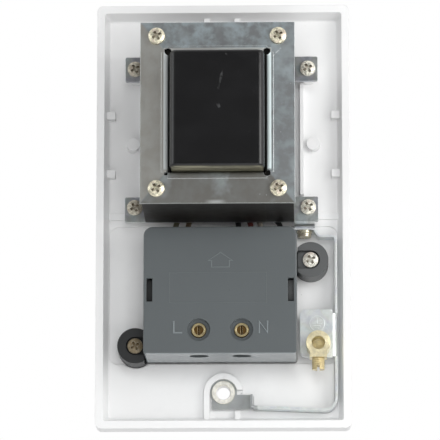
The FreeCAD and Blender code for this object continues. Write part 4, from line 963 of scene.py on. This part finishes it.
class MakeEarthParts(bpy.types.Operator):
    """Finish the earth strap, its lug and screws, and raise the earth mark"""

    bl_idname = "shaver_socket.make_earth_parts"
    bl_label = "Earth Strap and Lug"

    def execute(self, context):
        sizes = context.scene.shaver_socket_sizes
        colours = context.scene.shaver_socket_colours
        # The strap's tab gets painted shade
        strap = zinc_finish("strap_zinc", colours.strap, tint=0.55, gloss=0.26, metal=0.60, relief=0.003,
                            painted_tab_shade=0.65)
        lug = brass_finish("lug_brass", colours.lug_brass, scaled(colours.brass, 0.62),
                           rings=(middle_of("earth_lug").x, LUG_BORE_Z))
        lug_screw = brass_finish("lug_screw_brass", scaled(colours.brass, 0.9),
                                 scaled(colours.dark_brass, 0.5), threads="z")
        dress(strap, "earth_strap")
        dress(lug, "earth_lug")
        dress(lug_screw, "earth_lug_screw")
        dress(screw_finish("strap_screw_zinc", colours.screw, colours.dark_brass), "strap_screw")
        dress(brass_finish("eyelet_brass", colours.eyelet_brass, colours.brass, metal=0.25), "fixing_eyelet")
        mark = zinc_finish("raised_mark_zinc", colours.mark, tint=0.1, gloss=0.26, metal=0.4)
        strokes = [(seen_from_behind(points, EARTH_MIDDLE), closed)
                   for points, closed in self.earth_strokes(sizes.symbol_radius / MM)]
        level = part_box("earth_strap")[1][1]
        ridge("earth_mark", strokes, sizes.outline_width * 0.8, sizes.outline_height, level, mark)
        return {"FINISHED"}

    def earth_strokes(self, radius):
        """The ring, the stem and the three bars of the earth mark."""
        turns = [2 * pi * step / EARTH_RING_STEPS for step in range(EARTH_RING_STEPS)]
        ring = [(radius * cos(turn), radius * sin(turn)) for turn in turns]
        strokes = [(ring, True), ([(0, radius * EARTH_STEM_TOP), (0, EARTH_STEM_FOOT)], False)]
        for half, drop in EARTH_BARS:
            strokes.append(([(-radius * half, -radius * drop), (radius * half, -radius * drop)], False))
        return strokes


class MakeLeads(bpy.types.Operator):
    """Finish the leads between the coil and the housing"""

    bl_idname = "shaver_socket.make_leads"
    bl_label = "Leads"

    def execute(self, context):
        colours = context.scene.shaver_socket_colours
        dress(lead_finish("yellow_insulation", colours.yellow), "primary_lead_1")
        dress(lead_finish("orange_insulation", colours.orange), "primary_lead_2")
        dress(lead_finish("black_insulation", colours.black), "secondary_lead_1", "secondary_lead_4")
        dress(lead_finish("red_insulation", colours.red), "secondary_lead_2")
        dress(lead_finish("cream_insulation", colours.cream), "secondary_lead_3")
        return {"FINISHED"}


class SetStudio(bpy.types.Operator):
    """Set the floor, the light and the camera"""

    bl_idname = "shaver_socket.set_studio"
    bl_label = "Studio"

    def execute(self, context):
        studio = context.scene.shaver_socket_studio
        self.add_world(studio)
        self.add_floor(studio)
        for name, place, size, power, colour, mirrored in LAMPS:
            lamp(name, place, size, getattr(studio, power), colour, mirrored)
        self.add_camera(context, studio)
        context.scene.view_settings.view_transform = "Standard"
        return {"FINISHED"}

    def add_world(self, studio):
        """White to the camera and to mirrored rays at the sides, and an even light, dim on one side."""
        world = bpy.data.worlds.new("studio_world")
        bpy.context.scene.world = world
        world.use_nodes = True
        sky = Graph(world.node_tree)
        direction = sky.node("ShaderNodeTexCoord", {}, {}, "Generated")
        ahead = sky.node("ShaderNodeVectorMath", {"operation": "DOT_PRODUCT"}, {0: direction, 1: SKY_AXIS},
                         "Value")
        spread = sky.node("ShaderNodeMapRange", {}, {"Value": ahead, "From Min": -1, "From Max": 1})
        stops = [(position, (level, level, level)) for position, level in SKY_LEVELS]
        level = sky.node("ShaderNodeValToRGB", {"stops": stops}, {"Fac": spread})
        seen, glossy, through = [sky.node("ShaderNodeLightPath", {}, {}, ray)
                                 for ray in ("Is Camera Ray", "Is Glossy Ray", "Is Transmission Ray")]
        beside = sky.node("ShaderNodeMapRange", {}, {"Value": level, "From Min": SKY_SIDE_LEVEL})
        mirrored = sky.node("ShaderNodeMath", {"operation": "MAXIMUM"}, {0: glossy, 1: through})
        white = sky.node("ShaderNodeMath", {"operation": "MAXIMUM"}, {0: seen, 1: mirrored * beside})
        around = sky.node("ShaderNodeBackground", {}, {"Color": level, "Strength": studio.ambient})
        shown = sky.node("ShaderNodeBackground", {}, {"Color": (1, 1, 1)})
        mixed = sky.node("ShaderNodeMixShader", {}, {0: white, 1: around, 2: shown})
        sky.node("ShaderNodeOutputWorld", {}, {"Surface": mixed}, None)

    def add_floor(self, studio):
        """A pale floor, clear from below."""
        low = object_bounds()[0][2] - studio.floor_drop
        mesh = bpy.data.meshes.new("studio_floor")
        corners = [(-1, -1), (1, -1), (1, 1), (-1, 1)]
        mesh.from_pydata([(x * FLOOR_HALF, y * FLOOR_HALF, low) for x, y in corners], [], [(0, 1, 2, 3)])
        floor = bpy.data.objects.new("studio_floor", mesh)
        bpy.context.scene.collection.objects.link(floor)
        finish = Finish("pale_floor")
        grain = finish.noise(size=40.0, detail=2.0)
        shade = finish.mix(grain, scaled(studio.floor, 0.98), studio.floor)
        plain = finish.node("ShaderNodeBsdfPrincipled", {}, {"Base Color": shade, "Roughness": 0.9})
        clear = finish.node("ShaderNodeBsdfTransparent", {}, {})
        behind = finish.node("ShaderNodeNewGeometry", {}, {}, "Backfacing")
        both = finish.node("ShaderNodeMixShader", {}, {0: behind, 1: plain, 2: clear})
        finish.node("ShaderNodeOutputMaterial", {}, {"Surface": both}, None)
        mesh.materials.append(finish.material)
        floor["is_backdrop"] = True

    def add_camera(self, context, studio):
        """The camera at the photograph's viewing angle."""
        camera = bpy.data.cameras.new("photo_camera")
        camera.lens = studio.lens
        camera.sensor_width = CAMERA_SENSOR
        camera.clip_start, camera.clip_end = CAMERA_CLIP
        piece = bpy.data.objects.new("photo_camera", camera)
        context.scene.collection.objects.link(piece)
        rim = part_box("front_plate")[1][1]
        target = Vector((CAMERA_AIM_X, rim, CAMERA_AIM_Z))
        turn, rise = studio.azimuth, studio.elevation
        back = Vector((sin(turn) * cos(rise), -cos(turn) * cos(rise), sin(rise)))
        piece.location = target + back * studio.distance
        piece.rotation_euler = (-back).to_track_quat("-Z", "Y").to_euler()
        context.scene.camera = piece


OPERATORS = (MakeTray, MakeHousing, MakeHousingMarks, MakeTerminals, MakeShutter, MakeCore, MakeCoil,
             MakeClampPlates, MakeFasteners, MakeEarthParts, MakeLeads, SetStudio)
GROUPS = (("shaver_socket_colours", ShaverSocketColours), ("shaver_socket_sizes", ShaverSocketSizes),
          ("shaver_socket_studio", ShaverSocketStudio))


class ShaverSocketPanel(bpy.types.Panel):
    """Lists the socket's pieces and settings"""

    bl_idname = "VIEW3D_PT_shaver_socket"
    bl_label = "Shaver Socket"
    bl_space_type = "VIEW_3D"
    bl_region_type = "UI"
    bl_category = "Shaver Socket"

    def draw(self, context):
        layout = self.layout
        for operator in OPERATORS:
            layout.operator(operator.bl_idname)
        for name, group in GROUPS:
            settings = getattr(context.scene, name)
            box = layout.box()
            for setting in group.__annotations__:
                box.prop(settings, setting)


def register():
    for name, group in GROUPS:
        bpy.utils.register_class(group)
        setattr(bpy.types.Scene, name, bpy.props.PointerProperty(type=group))
    for operator in OPERATORS:
        bpy.utils.register_class(operator)
    bpy.utils.register_class(ShaverSocketPanel)


def unregister():
    bpy.utils.unregister_class(ShaverSocketPanel)
    for operator in reversed(OPERATORS):
        bpy.utils.unregister_class(operator)
    for name, group in reversed(GROUPS):
        delattr(bpy.types.Scene, name)
        bpy.utils.unregister_class(group)


def main():
    """Makes every piece and the studio."""
    register()
    bpy.ops.shaver_socket.make_tray()
    bpy.ops.shaver_socket.make_housing()
    bpy.ops.shaver_socket.make_housing_marks()
    bpy.ops.shaver_socket.make_terminals()
    bpy.ops.shaver_socket.make_shutter()
    bpy.ops.shaver_socket.make_core()
    bpy.ops.shaver_socket.make_coil()
    bpy.ops.shaver_socket.make_clamp_plates()
    bpy.ops.shaver_socket.make_fasteners()
    bpy.ops.shaver_socket.make_earth_parts()
    bpy.ops.shaver_socket.make_leads()
    bpy.ops.shaver_socket.set_studio()


if __name__ == "__main__":
    main()
